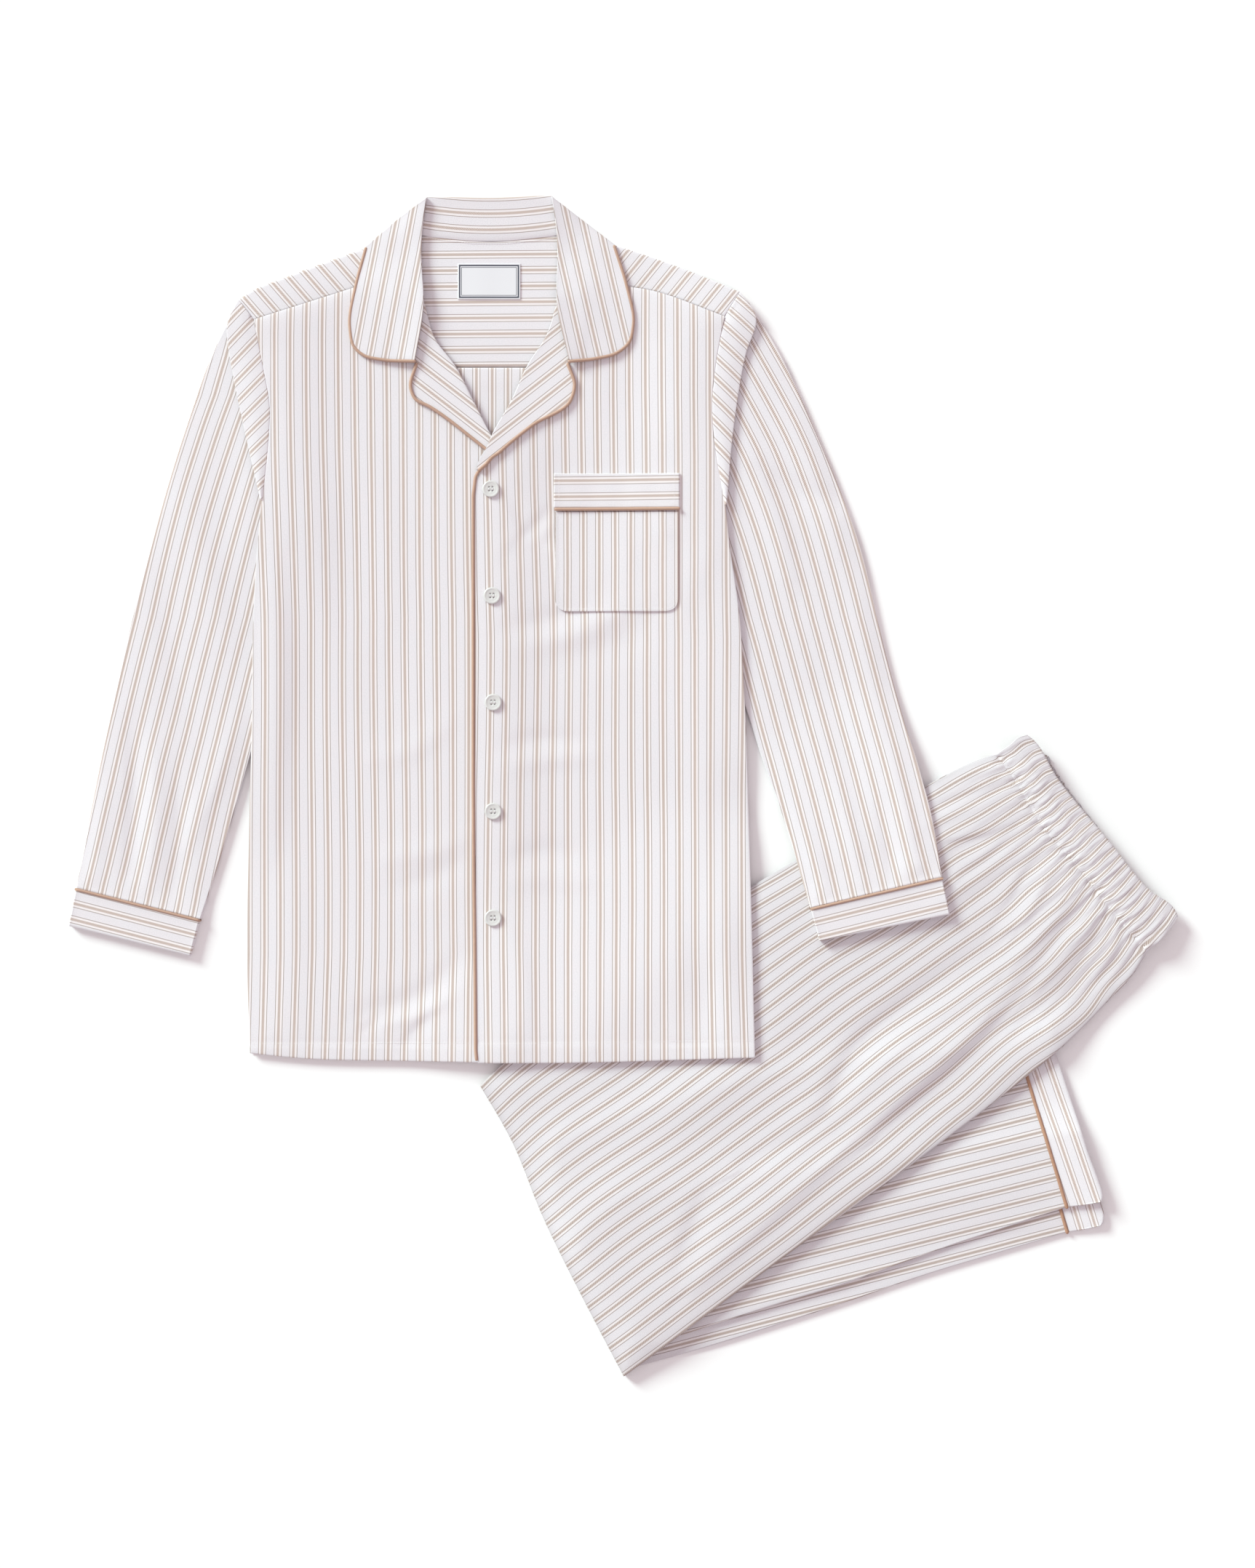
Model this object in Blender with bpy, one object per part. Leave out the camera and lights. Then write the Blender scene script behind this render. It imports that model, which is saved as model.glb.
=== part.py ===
"""Pyjama set laid flat: a buttoned shirt with a notched collar, lying partly on folded trousers.

The set lies on z = 0 with the shirt's neck towards +Y. Left and right are the sides seen from
above. Tables and heights are in millimetres, and MM turns them into Blender's metres.

Every piece of cloth is a wall cut from its seam lines. Its height is read from one lattice of
triangles that all pieces share, so cloth that lies on cloth keeps an even gap to it.
"""
import math

import bmesh
import bpy
from mathutils import Matrix, Vector
from mathutils.geometry import delaunay_2d_cdt

MM = 0.001
GAP = 0.3               # between pieces that meet or lie on each other
SLACK = 0.1             # more than that, under a piece that isn't cut along the lattice
WALL = 1.2              # one ply of brushed cotton with its seam allowances
COLLAR_WALL = 2.0       # two plies and an interlining
PLY_GROOVE = 0.5        # air between folded plies
PLY_STEP = 2.5          # how far the middle of a folded edge is set back
SIDE_RIM = 1.5          # cloth turning over at a closed side of a sleeve
SLEEVE_AIR = 1.6        # air inside a flat sleeve
PIPING = 3.0            # width of the piping
PIPING_RISE = 0.8       # how far it stands above the cloth beside it
PITCH = 32.0            # side of the lattice's triangles
ROW = PITCH * math.sqrt(3) / 2
DRAPE = 0.22            # steepest slope that the cloth falls at from an edge below it

BUTTON_RADIUS, BUTTON_DISH, BUTTON_HOLE, HOLE_PITCH = 7.5, 5.4, 1.0, 3.0
BUTTON_PLATE, BUTTON_RIM = 1.5, 1.1
LABEL_WALL = 1.0
POCKET_CORNER = 11.0
HIDDEN_INSET = 4.5      # hidden plies, set back from the edge of the cloth above
HIDDEN_TO_WAIST = 19.0  # where they stop below the waist's edge
HIDDEN_END = 8.0        # and how much shorter than the waist they are at both ends
WAIST_BACK_DEPTH = 24.0
WAIST_BACK_END = 10.0   # how much shorter the back of the waist is at both ends
WAIST_BACK_PEEK = 4.0   # how far it shows past the front
WAIST_BACK_GONE = 0.8   # share of the waist after which it no longer does
GATHERS, GATHER_RISE, BACK_GATHER_RISE = 22, 1.5, 0.9
GATHER_DIP = 0.45       # how much lower they stand over the elastic, as a share
COLLAR_ROLL, ROLL_REACH = 4.5, 48.0     # how far the collar stands off at its roll line
PAST = 5.0              # cutting lines run on past an outline

# Seams and edges of the shirt: points (across, up) in millimetres
SHIRT = {
    "shoulder_left": ((-193, 493), (-231, 480), (-298, 455), (-333, 440), (-343, 433)),
    "shoulder_right": ((-44, 493), (-6, 482), (54, 461), (104, 440)),
    "yoke_seam_left": ((-193, 460), (-241, 444), (-329, 415)),
    "yoke_seam_right": ((-44, 460), (5, 445), (18, 443), (90, 418)),
    "yoke_back": ((-321, 373), (82, 373)),
    "neck_seam": ((-193, 493), (-179, 491), (-118, 486), (-60, 491), (-44, 493)),
    "arm_top_left": ((-343, 433), (-329, 415)),
    "arm_yoke_left": ((-329, 415), (-321, 373)),
    "armhole_left": ((-321, 373), (-315, 338), (-316, 306), (-322, 252)),
    "arm_top_right": ((104, 440), (90, 418)),
    "arm_yoke_right": ((90, 418), (82, 373)),
    "armhole_right": ((82, 373), (79, 340), (81, 306), (91, 248)),
    "head_left": ((-343, 433), (-353, 411), (-349, 370), (-339, 321), (-322, 252)),
    "head_right": ((104, 440), (118, 418), (109, 384), (98, 317), (91, 248)),
    "side_left": ((-322, 252), (-328, 182), (-331, 52), (-335, -185), (-333, -239)),
    "side_right": ((91, 248), (94, 219), (103, 155), (107, 94), (114, -115), (117, -242)),
    "hem_left": ((-333, -239), (-294, -243), (-185, -246), (-133, -247)),
    "hem_middle": ((-133, -247), (-101, -247)),
    "hem_right": ((-101, -247), (-63, -247), (117, -242)),
    "roll_left": ((-178, 432), (-167, 397), (-151, 376), (-132, 340), (-118, 313), (-101, 288)),
    "roll_right": ((-59, 432), (-69, 401), (-85, 376), (-101, 341), (-116, 313), (-126, 295)),
    "lapel_left": ((-186, 376), (-191, 354), (-187, 344), (-173, 336), (-134, 307), (-107, 285)),
    "lapel_right": ((-48, 376), (-42, 356), (-45, 344), (-81, 320), (-114, 297), (-128, 285)),
    "front_edge": ((-130, 283), (-133, 265), (-133, 13), (-133, -247)),
    "collar_top": ((-174, 527), (-118, 525), (-65, 528)),
    "leaf_fold_left": ((-174, 527), (-198, 509), (-231, 480)),
    "leaf_edge_left": ((-231, 480), (-240, 445), (-245, 407), (-241, 390), (-232, 382),
                       (-216, 378), (-186, 376)),
    "leaf_fold_right": ((-65, 528), (-40, 508), (-7, 482)),
    "leaf_edge_right": ((-7, 482), (4, 446), (10, 410), (6, 394), (-4, 385), (-24, 379),
                        (-48, 376)),
    "leaf_roll_left": ((-179, 491), (-180, 478), (-178, 426), (-186, 376)),
    "leaf_roll_right": ((-60, 491), (-59, 478), (-59, 426), (-48, 376)),
    "stand": ((-179, 491), (-118, 486), (-60, 491)),
    "sleeve_outer_left": ((-343, 433), (-362, 396), (-391, 317), (-425, 201), (-460, 52),
                          (-488, -92)),
    "sleeve_inner_left": ((-281, 247), (-315, 98), (-331, 33), (-354, -46), (-377, -120)),
    "sleeve_mouth_left": ((-281, 247), (-300, 338), (-307, 396), (-343, 433)),
    "cuff_outer_left": ((-488, -92), (-495, -126)),
    "cuff_inner_left": ((-377, -120), (-386, -153)),
    "sleeve_outer_right": ((104, 440), (128, 406), (173, 312), (208, 224), (251, 52), (265, 22),
                           (283, -82)),
    "sleeve_inner_right": ((47, 247), (83, 143), (115, 52), (145, -38), (166, -110)),
    "sleeve_mouth_right": ((47, 247), (67, 338), (70, 396), (104, 440)),
    "cuff_outer_right": ((283, -82), (290, -114)),
    "cuff_inner_right": ((166, -110), (174, -138)),
}

# Seams and edges of the trousers, which are folded along the legs and then at the knee
TROUSERS = {
    "waist": ((359, 45), (385, 8), (434, -52), (467, -92), (494, -115)),
    "casing": ((332, 29), (349, 5), (375, -38), (404, -70), (436, -111), (462, -151)),
    "casing_top": ((332, 29), (341, 34), (359, 45)),
    "casing_end": ((462, -151), (477, -140), (494, -115)),
    "under_edge": ((462, -151), (451, -174), (429, -200), (358, -260), (257, -337), (168, -401),
                   (0, -527)),
    "knee": ((0, -527), (-37, -456), (-72, -385), (-101, -315), (-128, -268)),
    "top_edge": ((-128, -268), (-110, -250), (114, -90), (153, -67), (270, 0), (309, 20),
                 (332, 29)),
    "seam_a": ((351, -230), (395, -376)),
    "hem_a": ((379, -220), (417, -332), (425, -362), (419, -371), (395, -376)),
    "lower_a": ((395, -376), (370, -385), (294, -410), (226, -426), (168, -448), (53, -488)),
    "hidden_a": ((53, -488), (18, -490), (-58, -356), (-60, -318), (90, -268), (351, -230)),
    "seam_b": ((371, -315), (396, -399)),
    "hem_b": ((405, -309), (427, -387), (422, -394), (396, -399)),
    "lower_b": ((396, -399), (332, -415), (255, -440), (168, -454), (80, -483), (9, -525)),
    "hidden_b": ((9, -525), (14, -508), (-34, -400), (0, -366), (150, -345), (371, -315)),
}

# Collar: the fall behind the neck, how far its folded edge shows, and the tucks of the lapels
FALL = ((-172, 540), (-170, 499), (-118, 496), (-69, 499), (-67, 540))
FOLD_ENDS = (-212, -26)
LEFT_OF_YOKE, RIGHT_OF_YOKE = (-420, 560), (180, 560)   # spots clear of it, for its cuts
LAPEL_TUCK = {"left": ((-202, 440), (-196, 400)), "right": ((-36, 440), (-38, 400))}

# Chest pocket, label and buttons: left, top, right and bottom edges, then button centres
POCKET = (-61, 244, 49, 155)
POCKET_BAND = (-62, 278, 50, 248)
LABEL = (-148, 466, -92, 434)
BUTTONS = ((-118, 264), (-117, 169), (-116, 74), (-116, -23), (-116, -118))

# Largest folds: start, end, half width and height
FOLD = ("start", "end", "reach", "rise")
TROUSER_FOLDS = (
    ((372, -42), (286, -132), 20, 4.0),
    ((404, -84), (327, -172), 18, 4.0),
    ((440, -130), (392, -212), 18, 3.5),
    ((330, 8), (196, -72), 20, 2.5),
    ((262, -150), (110, -250), 34, 2.0),
    ((150, -300), (20, -400), 36, 2.0),
)
SLEEVE_FOLDS = (
    ((-392, 270), (-330, 120), 24, 2.5),
    ((-440, 60), (-372, -40), 22, 2.0),
    ((-375, 60), (-440, -70), 20, 2.0),
    ((188, 240), (132, 120), 24, 2.5),
    ((236, 60), (170, -30), 22, 2.0),
    ((160, 40), (240, -60), 20, 2.0),
)
BODY_FOLDS = (
    ((-300, 230), (-270, 60), 30, 1.5),
    ((62, 200), (70, 40), 30, 1.5),
    ((-190, -60), (-250, -240), 30, 1.2),
    ((60, -20), (20, -240), 34, 1.2),
)

COTTON = (0.89, 0.86, 0.85)
LINING = (0.80, 0.77, 0.76)
TAN = (0.58, 0.42, 0.31)
PEARL = (0.90, 0.89, 0.87)
PAPER = (0.92, 0.91, 0.89)


# ---------------------------------------------------------------- lines in the plane
def curve(points, step=24.0, slack=0.4):
    """A smooth line through the points, with as few points of its own as it needs."""
    spots = [Vector(p) for p in points]
    runs = [b - a for a, b in zip(spots, spots[1:])]
    slopes = [runs[0].normalized()]
    for before, after in zip(runs, runs[1:]):
        short, long = before.length, after.length
        slopes.append((before / short * long + after / long * short) / (short + long))
    slopes.append(runs[-1].normalized())
    line = []
    for k, run in enumerate(runs):
        parts = max(1, math.ceil(run.length / step))
        for t in (part / parts for part in range(parts)):
            line.append((1 + 2 * t) * (1 - t) ** 2 * spots[k] + t * t * (3 - 2 * t) * spots[k + 1]
                        + t * (1 - t) * run.length * ((1 - t) * slopes[k] - t * slopes[k + 1]))
    line.append(spots[-1])
    k = 1
    while k < len(line) - 1:
        chord = line[k + 1] - line[k - 1]
        if abs(chord.normalized().cross(line[k] - line[k - 1])) < slack:
            del line[k]
        k += 1
    return line


def seam(name, backwards=False):
    line = curve(SHIRT[name] if name in SHIRT else TROUSERS[name])
    return line[::-1] if backwards else line


def joined(*lines):
    """One closed outline, anticlockwise, from lines that follow each other."""
    loop = []
    for line in lines:
        for spot in line:
            if not loop or (spot - loop[-1]).length > 0.5:
                loop.append(spot)
    if (loop[0] - loop[-1]).length < 0.5:
        loop.pop()
    area = sum(a.cross(b) for a, b in zip(loop, loop[1:] + loop[:1]))
    return loop if area > 0 else loop[::-1]


def offset(line, amount, closed=False):
    """The line moved to its left by the amount, with mitred corners."""
    count = len(line)
    moved = []
    for k, spot in enumerate(line):
        before = line[k - 1] if closed or k else None
        after = line[(k + 1) % count] if closed or k < count - 1 else None
        sides = [(spot - before).normalized()] if before is not None else []
        sides += [(after - spot).normalized()] if after is not None else []
        normals = [Vector((-s.y, s.x)) for s in sides]
        middle = sum(normals, Vector((0, 0))).normalized()
        moved.append(spot + middle * amount / max(0.5, middle.dot(normals[0])))
    return moved


def shrunk(loop, amount=GAP / 2):
    return offset(loop, amount, closed=True)


def shorter(line, amount):
    """The line without the last bit of its end."""
    last = line[-1] + (line[-2] - line[-1]).normalized() * amount
    return line[:-1] + [last]


def trimmed(line, amount):
    """The line without the last bit of both its ends."""
    return shorter(shorter(line, amount)[::-1], amount)[::-1]


def longer(line, amount):
    """The line carried on past both its ends."""
    return trimmed(line, -amount)


def rectangle(left, top, right, bottom):
    return [Vector(p) for p in ((left, bottom), (right, bottom), (right, top), (left, top))]


def circle(centre, radius, sides):
    return [Vector(centre) + Vector((math.cos(a), math.sin(a))) * radius
            for a in (2 * math.pi * k / sides for k in range(sides))]


def inside(loop, spot):
    hit = False
    for a, b in zip(loop, loop[1:] + loop[:1]):
        if (a.y > spot.y) != (b.y > spot.y):
            hit ^= spot.x < a.x + (spot.y - a.y) * (b.x - a.x) / (b.y - a.y)
    return hit


def distance(line, spot):
    nearest = math.inf
    for a, b in zip(line, line[1:]):
        along = max(0, min(1, (spot - a).dot(b - a) / (b - a).length_squared))
        nearest = min(nearest, (a + (b - a) * along - spot).length)
    return nearest


def folds(table):
    """Extra height over each fold of the table, highest along its middle."""
    rows = [dict(zip(FOLD, row)) for row in table]

    def height(spot):
        total = 0
        for row in rows:
            off = distance([Vector(row["start"]), Vector(row["end"])], spot) / row["reach"]
            total = max(total, row["rise"] * max(0, 1 - off ** 2) ** 2)
        return total
    return height


# ---------------------------------------------------------------- the shared lattice
def corner_place(corner):
    column, row = corner
    return Vector(((column + 0.5 * (row % 2)) * PITCH, row * ROW))


def cell(spot):
    """The three lattice corners round a spot, with their weights."""
    row = math.floor(spot.y / ROW)
    up = spot.y / ROW - row
    shift, shift_above = 0.5 * (row % 2), 0.5 * ((row + 1) % 2)
    slanted = spot.x / PITCH - shift - up / 2
    column = math.floor(slanted)
    along = slanted - column
    above = round(column + shift + 0.5 - shift_above)
    if along + up <= 1:
        return (((column, row), 1 - along - up), ((column + 1, row), along), ((above, row + 1), up))
    return (((column + 1, row), 1 - up), ((above, row + 1), 1 - along),
            ((above + 1, row + 1), along + up - 1))


def neighbours(corner):
    column, row = corner
    side = column + row % 2
    return ((column - 1, row), (column + 1, row), (side - 1, row + 1), (side, row + 1),
            (side - 1, row - 1), (side, row - 1))


class Panel:
    """An outline split into triangles by the lattice, and by cuts of its own."""

    def __init__(self, outline, cuts=(), holes=(), on_lattice=True):
        self.outline = outline
        spots, edges = [], []
        for line, closed in [(outline, True)] + [(c, False) for c in cuts] + [(h, True) for h in holes]:
            first = len(spots)
            spots += line
            edges += [(first + k, first + k + 1) for k in range(len(line) - 1)]
            if closed:
                edges.append((len(spots) - 1, first))
        if on_lattice:
            self.add_lattice(spots, edges)
        flat, _, faces, *_ = delaunay_2d_cdt(spots, edges, [], 0, 0.001)
        self.spots = [Vector(p) for p in flat]
        self.faces = []
        for face in faces:
            middle = sum((self.spots[k] for k in face), Vector((0, 0))) / 3
            if inside(outline, middle) and not any(inside(hole, middle) for hole in holes):
                self.faces.append((tuple(face), middle))
        self.corners = {corner for _, middle in self.faces for corner, _ in cell(middle)}

    def add_lattice(self, spots, edges):
        xs = [p.x for p in self.outline]
        ys = [p.y for p in self.outline]
        index = {}
        for row in range(math.floor(min(ys) / ROW) - 1, math.ceil(max(ys) / ROW) + 2):
            for column in range(math.floor(min(xs) / PITCH) - 2, math.ceil(max(xs) / PITCH) + 2):
                index[column, row] = len(spots)
                spots.append(corner_place((column, row)))
        edges += [(index[corner], index[other]) for corner in index
                  for other in neighbours(corner) if other in index and corner < other]


class Sheet:
    """A height for each lattice corner, read anywhere between them."""

    def __init__(self, heights):
        self.heights = heights

    def __call__(self, spot):
        return sum(self.heights[corner] * share for corner, share in cell(spot) if share > 1e-6)

    def raised(self, amount, shape=None):
        return Sheet({corner: height + amount + (shape(corner_place(corner)) if shape else 0)
                      for corner, height in self.heights.items()})


class Bed:
    """What has been laid down so far: its top at each lattice corner."""

    def __init__(self, same_as=None):
        self.top = dict(same_as.top) if same_as else {}

    def rest(self, panels, shape=None):
        """Where the underside of these panels comes to lie, with a shape's rise added."""
        heights = {}
        for corner in set().union(*(panel.corners for panel in panels)):
            below = self.top.get(corner, 0)
            extra = shape(corner_place(corner)) if shape else 0
            heights[corner] = below + (GAP if below else 0) + extra
        fall, moved = DRAPE * PITCH, True
        while moved:
            moved = False
            for corner, height in list(heights.items()):
                least = max((heights[n] for n in neighbours(corner) if n in heights), default=0)
                if height < least - fall - 1e-6:
                    heights[corner] = least - fall
                    moved = True
        return Sheet(heights)

    def cover(self, panels, sheet, extra=0):
        for corner in set().union(*(panel.corners for panel in panels)):
            self.top[corner] = max(self.top.get(corner, 0), sheet.heights[corner] + extra)


# ---------------------------------------------------------------- solids
def look(name, colour, roughness):
    material = bpy.data.materials.get(name) or bpy.data.materials.new(name)
    material.use_nodes = True
    shader = material.node_tree.nodes["Principled BSDF"]
    shader.inputs["Base Color"].default_value = (*colour, 1)
    shader.inputs["Roughness"].default_value = roughness
    shader.inputs["Metallic"].default_value = 0
    return material


def add_object(name, corners, faces, material):
    mesh = bpy.data.meshes.new(name)
    mesh.from_pydata([Vector(c) * MM for c in corners], [], faces)
    mesh.materials.append(material)
    mesh.update()
    thing = bpy.data.objects.new(name, mesh)
    bpy.context.collection.objects.link(thing)
    return thing


def solid(name, panel, levels, material, layers=None):
    """A closed solid between the levels, from the bottom up.

    Each layer between two levels fills the whole panel, or the part for which its rule holds.
    """
    layers = layers or [None] * (len(levels) - 1)
    filled = [{face for face, middle in panel.faces if rule is None or rule(middle)}
              for rule in layers]
    empty = set()
    corners, faces, numbers = [], [], {}

    def corner(spot, level):
        if (spot, level) not in numbers:
            place = panel.spots[spot]
            numbers[spot, level] = len(corners)
            corners.append((place.x, place.y, levels[level](place)))
        return numbers[spot, level]

    for number, here in enumerate(filled):
        below = filled[number - 1] if number else empty
        above = filled[number + 1] if number + 1 < len(filled) else empty
        for a, b, c in here - below:
            faces.append((corner(c, number), corner(b, number), corner(a, number)))
        for a, b, c in here - above:
            faces.append((corner(a, number + 1), corner(b, number + 1), corner(c, number + 1)))
        sides = {(face[k], face[(k + 1) % 3]) for face in here for k in range(3)}
        for a, b in sides:
            if (b, a) not in sides:
                low_a, low_b = corner(a, number), corner(b, number)
                high_a, high_b = corner(a, number + 1), corner(b, number + 1)
                faces += [(low_a, low_b, high_b), (low_a, high_b, high_a)]
    return add_object(name, corners, faces, material)


def wall(name, panel, sheet, material, thickness=WALL):
    return solid(name, panel, [sheet, sheet.raised(thickness)], material)


def plies(name, panel, sheet, count, material, puff=None):
    """Folded plies as one solid, with the air between them showing only at its edge."""
    core = shrunk(panel.outline, PLY_STEP)
    levels, layers = [sheet], []
    for ply in range(count):
        levels.append(levels[-1].raised(WALL, puff if ply == count - 1 else None))
        layers.append(None)
        if ply < count - 1:
            levels.append(levels[-1].raised(PLY_GROOVE))
            layers.append(lambda middle: inside(core, middle))
    solid(name, panel, levels, material, layers)
    return levels[-1]


def plies_panel(outline):
    loop = shrunk(outline)
    core = shrunk(loop, PLY_STEP)
    return Panel(loop, cuts=[core + core[:1]])


def band_panel(line, width=PIPING):
    """A narrow panel to the left of a line, with a cut along its middle."""
    outline = joined(line, offset(line, width)[::-1])
    return Panel(shrunk(outline), cuts=[offset(line, width / 2)])


def crowned(sheet, line, width=PIPING, rise=PIPING_RISE):
    """The sheet, raised towards the middle of a band along the line."""
    middle = offset(line, width / 2)

    def height(spot):
        return sheet(spot) + rise * max(0, 1 - distance(middle, spot) / (width / 2))
    return height


def tube(name, panel, void, bottom, top, material, thickness=WALL):
    """A flattened tube: two walls that meet only outside the void's outline."""
    levels = [bottom, bottom.raised(thickness), top, top.raised(thickness)]
    layers = [None, lambda middle: not inside(void, middle), None]
    return solid(name, panel, levels, material, layers)


def tube_panel(side_a, side_b, mouth=None):
    """The panel of a flattened tube and its void; both sides run towards the tube's end."""
    mouth = mouth or [side_b[0], side_a[0]]
    outline = shrunk(joined(side_a, side_b[::-1], mouth))
    turn = 1 if (side_a[-1] - side_a[0]).cross(side_b[-1] - side_a[0]) > 0 else -1
    inner_a = longer(offset(side_a, turn * SIDE_RIM), PAST)
    inner_b = longer(offset(side_b, -turn * SIDE_RIM), PAST)
    past_mouth = offset(mouth, -turn * PAST)[1:-1]
    void = inner_a + inner_b[::-1] + past_mouth
    return Panel(outline, cuts=[inner_a, inner_b]), void


# ---------------------------------------------------------------- trousers
def lower_leg(letter, bed, looks):
    """One folded-back lower leg with its hem band and the piping between them."""
    join = seam(f"seam_{letter}")
    leg_end, band_start = offset(join, -PIPING / 2), offset(join, PIPING / 2)
    leg = plies_panel(joined(leg_end, seam(f"lower_{letter}")[1:], seam(f"hidden_{letter}")[:-1]))
    band = plies_panel(joined(band_start, seam(f"hem_{letter}", True)[1:]))
    strip = band_panel(leg_end)
    sheet = bed.rest([leg, band, strip])
    top = plies(f"leg_lower_{letter}", leg, sheet, 2, looks["cotton"])
    plies(f"hem_band_{letter}", band, sheet, 2, looks["cotton"])
    solid(f"hem_piping_{letter}", strip, [sheet, crowned(top, leg_end)], looks["tan"])
    bed.cover([leg, band], top)
    bed.cover([strip], top, PIPING_RISE)


def gathered_strip(name, inner, outer, base, rise, material):
    """A wall between two lines, ruffled by gathers that stand highest at both lines."""
    columns, rows = GATHERS * 4, 3
    corners = []

    def along(line, share):
        """A spot at a share of the line's length."""
        lengths = [(b - a).length for a, b in zip(line, line[1:])]
        left = share * sum(lengths)
        for k, length in enumerate(lengths):
            if left <= length or k == len(lengths) - 1:
                return line[k] + (line[k + 1] - line[k]) * (left / length)
            left -= length

    for lift in (0, WALL):
        for column in range(columns + 1):
            share = column / columns
            wave = 0.5 - 0.5 * math.cos(2 * math.pi * GATHERS * share)
            for row in range(rows + 1):
                spot = along(inner, share).lerp(along(outer, share), row / rows)
                swell = 1 - GATHER_DIP * math.sin(math.pi * row / rows)
                corners.append((spot.x, spot.y, base(spot) + lift + rise * wave * swell))

    side = (columns + 1) * (rows + 1)
    at = lambda layer, column, row: layer * side + column * (rows + 1) + row
    faces = []
    for column in range(columns):
        for row in range(rows):
            quad = [(column, row), (column, row + 1), (column + 1, row + 1), (column + 1, row)]
            faces.append([at(1, *q) for q in quad])
            faces.append([at(0, *q) for q in reversed(quad)])
    rim = [(c, 0) for c in range(columns)] + [(columns, r) for r in range(rows)]
    rim += [(c, rows) for c in range(columns, 0, -1)] + [(0, r) for r in range(rows, 0, -1)]
    for a, b in zip(rim, rim[1:] + rim[:1]):
        faces.append([at(0, *a), at(1, *a), at(1, *b), at(0, *b)])
    thing = add_object(name, corners, faces, material)
    shape = bmesh.new()
    shape.from_mesh(thing.data)
    bmesh.ops.triangulate(shape, faces=shape.faces)
    bmesh.ops.recalc_face_normals(shape, faces=shape.faces)
    shape.to_mesh(thing.data)
    shape.free()
    return thing


def trousers(bed, looks):
    lower_leg("b", bed, looks)
    lower_leg("a", bed, looks)

    # Hidden plies of both legs, set back from the edges
    waist, casing = seam("waist"), seam("casing")
    waist_side = trimmed(offset(waist, -HIDDEN_TO_WAIST), HIDDEN_END)
    core = plies_panel(shrunk(joined(seam("under_edge"), seam("knee")[1:], seam("top_edge")[1:-1],
                                     waist_side), HIDDEN_INSET))
    top = plies("leg_core", core, bed.rest([core]), 3, looks["lining"])
    below_legs = Bed(bed)
    bed.cover([core], top)

    # Back of the waist, on the hidden plies and peeking out past the front
    tuck = trimmed(offset(waist, -WAIST_BACK_DEPTH), WAIST_BACK_END)
    peek, hide = offset(waist, WAIST_BACK_PEEK), offset(waist, -WAIST_BACK_PEEK)
    shares = [min(1, k / len(waist) / WAIST_BACK_GONE) for k in range(len(waist))]
    back_edge = trimmed([a.lerp(b, share) for a, b, share in zip(peek, hide, shares)], WAIST_BACK_END)
    back = Panel(joined(tuck, back_edge[::-1]))
    base = bed.rest([back])
    gathered_strip("waistband_back", tuck, back_edge, base.raised(SLACK), BACK_GATHER_RISE,
                   looks["lining"])
    bed.cover([back], base, WALL + BACK_GATHER_RISE + SLACK)

    # The cloth on top: it wraps round the knee fold, and gathers into the casing
    knee = seam("knee")
    leg_outline = shrunk(joined(casing, seam("under_edge")[1:], knee[1:], seam("top_edge")[1:-1]))
    turned = shrunk(leg_outline, SIDE_RIM)
    leg = Panel(leg_outline, cuts=[turned + turned[:1]])
    low = below_legs.rest([leg])
    upper = bed.rest([leg], folds(TROUSER_FOLDS))
    in_turn = lambda middle: not inside(turned, middle) and distance(knee, middle) < 2 * SIDE_RIM
    solid("leg_upper", leg, [low, upper, upper.raised(WALL)], looks["cotton"], [in_turn, None])
    bed.cover([leg], upper, WALL)

    # The casing, gathered by the elastic in it
    band = Panel(shrunk(joined(casing, seam("casing_end")[1:], waist[::-1], seam("casing_top", True))))
    sheet = bed.rest([band])
    gathered_strip("waistband", trimmed(offset(casing, GAP), GAP), waist, sheet.raised(SLACK),
                   GATHER_RISE, looks["cotton"])
    bed.cover([band], sheet, WALL + GATHER_RISE + SLACK)


# ---------------------------------------------------------------- shirt
def sleeve(side, bed, looks):
    """A sleeve, the piping at its end and its cuff, all flattened tubes."""
    outer, inner = seam(f"sleeve_outer_{side}"), seam(f"sleeve_inner_{side}")
    cuff_outer, cuff_inner = seam(f"cuff_outer_{side}"), seam(f"cuff_inner_{side}")
    half = PIPING / 2
    strip_outer = [shorter(outer, half)[-1], shorter(cuff_outer[::-1], half)[-1]]
    strip_inner = [shorter(inner, half)[-1], shorter(cuff_inner[::-1], half)[-1]]
    arm, arm_void = tube_panel(shorter(outer, half), shorter(inner, half), seam(f"sleeve_mouth_{side}"))
    strip, strip_void = tube_panel(strip_outer, strip_inner)
    cuff, cuff_void = tube_panel([strip_outer[1], cuff_outer[-1]], [strip_inner[1], cuff_inner[-1]])
    group = [arm, strip, cuff]
    bottom = bed.rest(group)
    top = bottom.raised(WALL + SLEEVE_AIR, folds(SLEEVE_FOLDS))
    tube(f"sleeve_{side}", arm, arm_void, bottom, top, looks["cotton"])
    tube(f"cuff_piping_{side}", strip, strip_void, bottom, top.raised(PIPING_RISE), looks["tan"])
    tube(f"cuff_{side}", cuff, cuff_void, bottom, top, looks["cotton"])
    bed.cover([arm, cuff], top, WALL)
    bed.cover([strip], top, WALL + PIPING_RISE)


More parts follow.
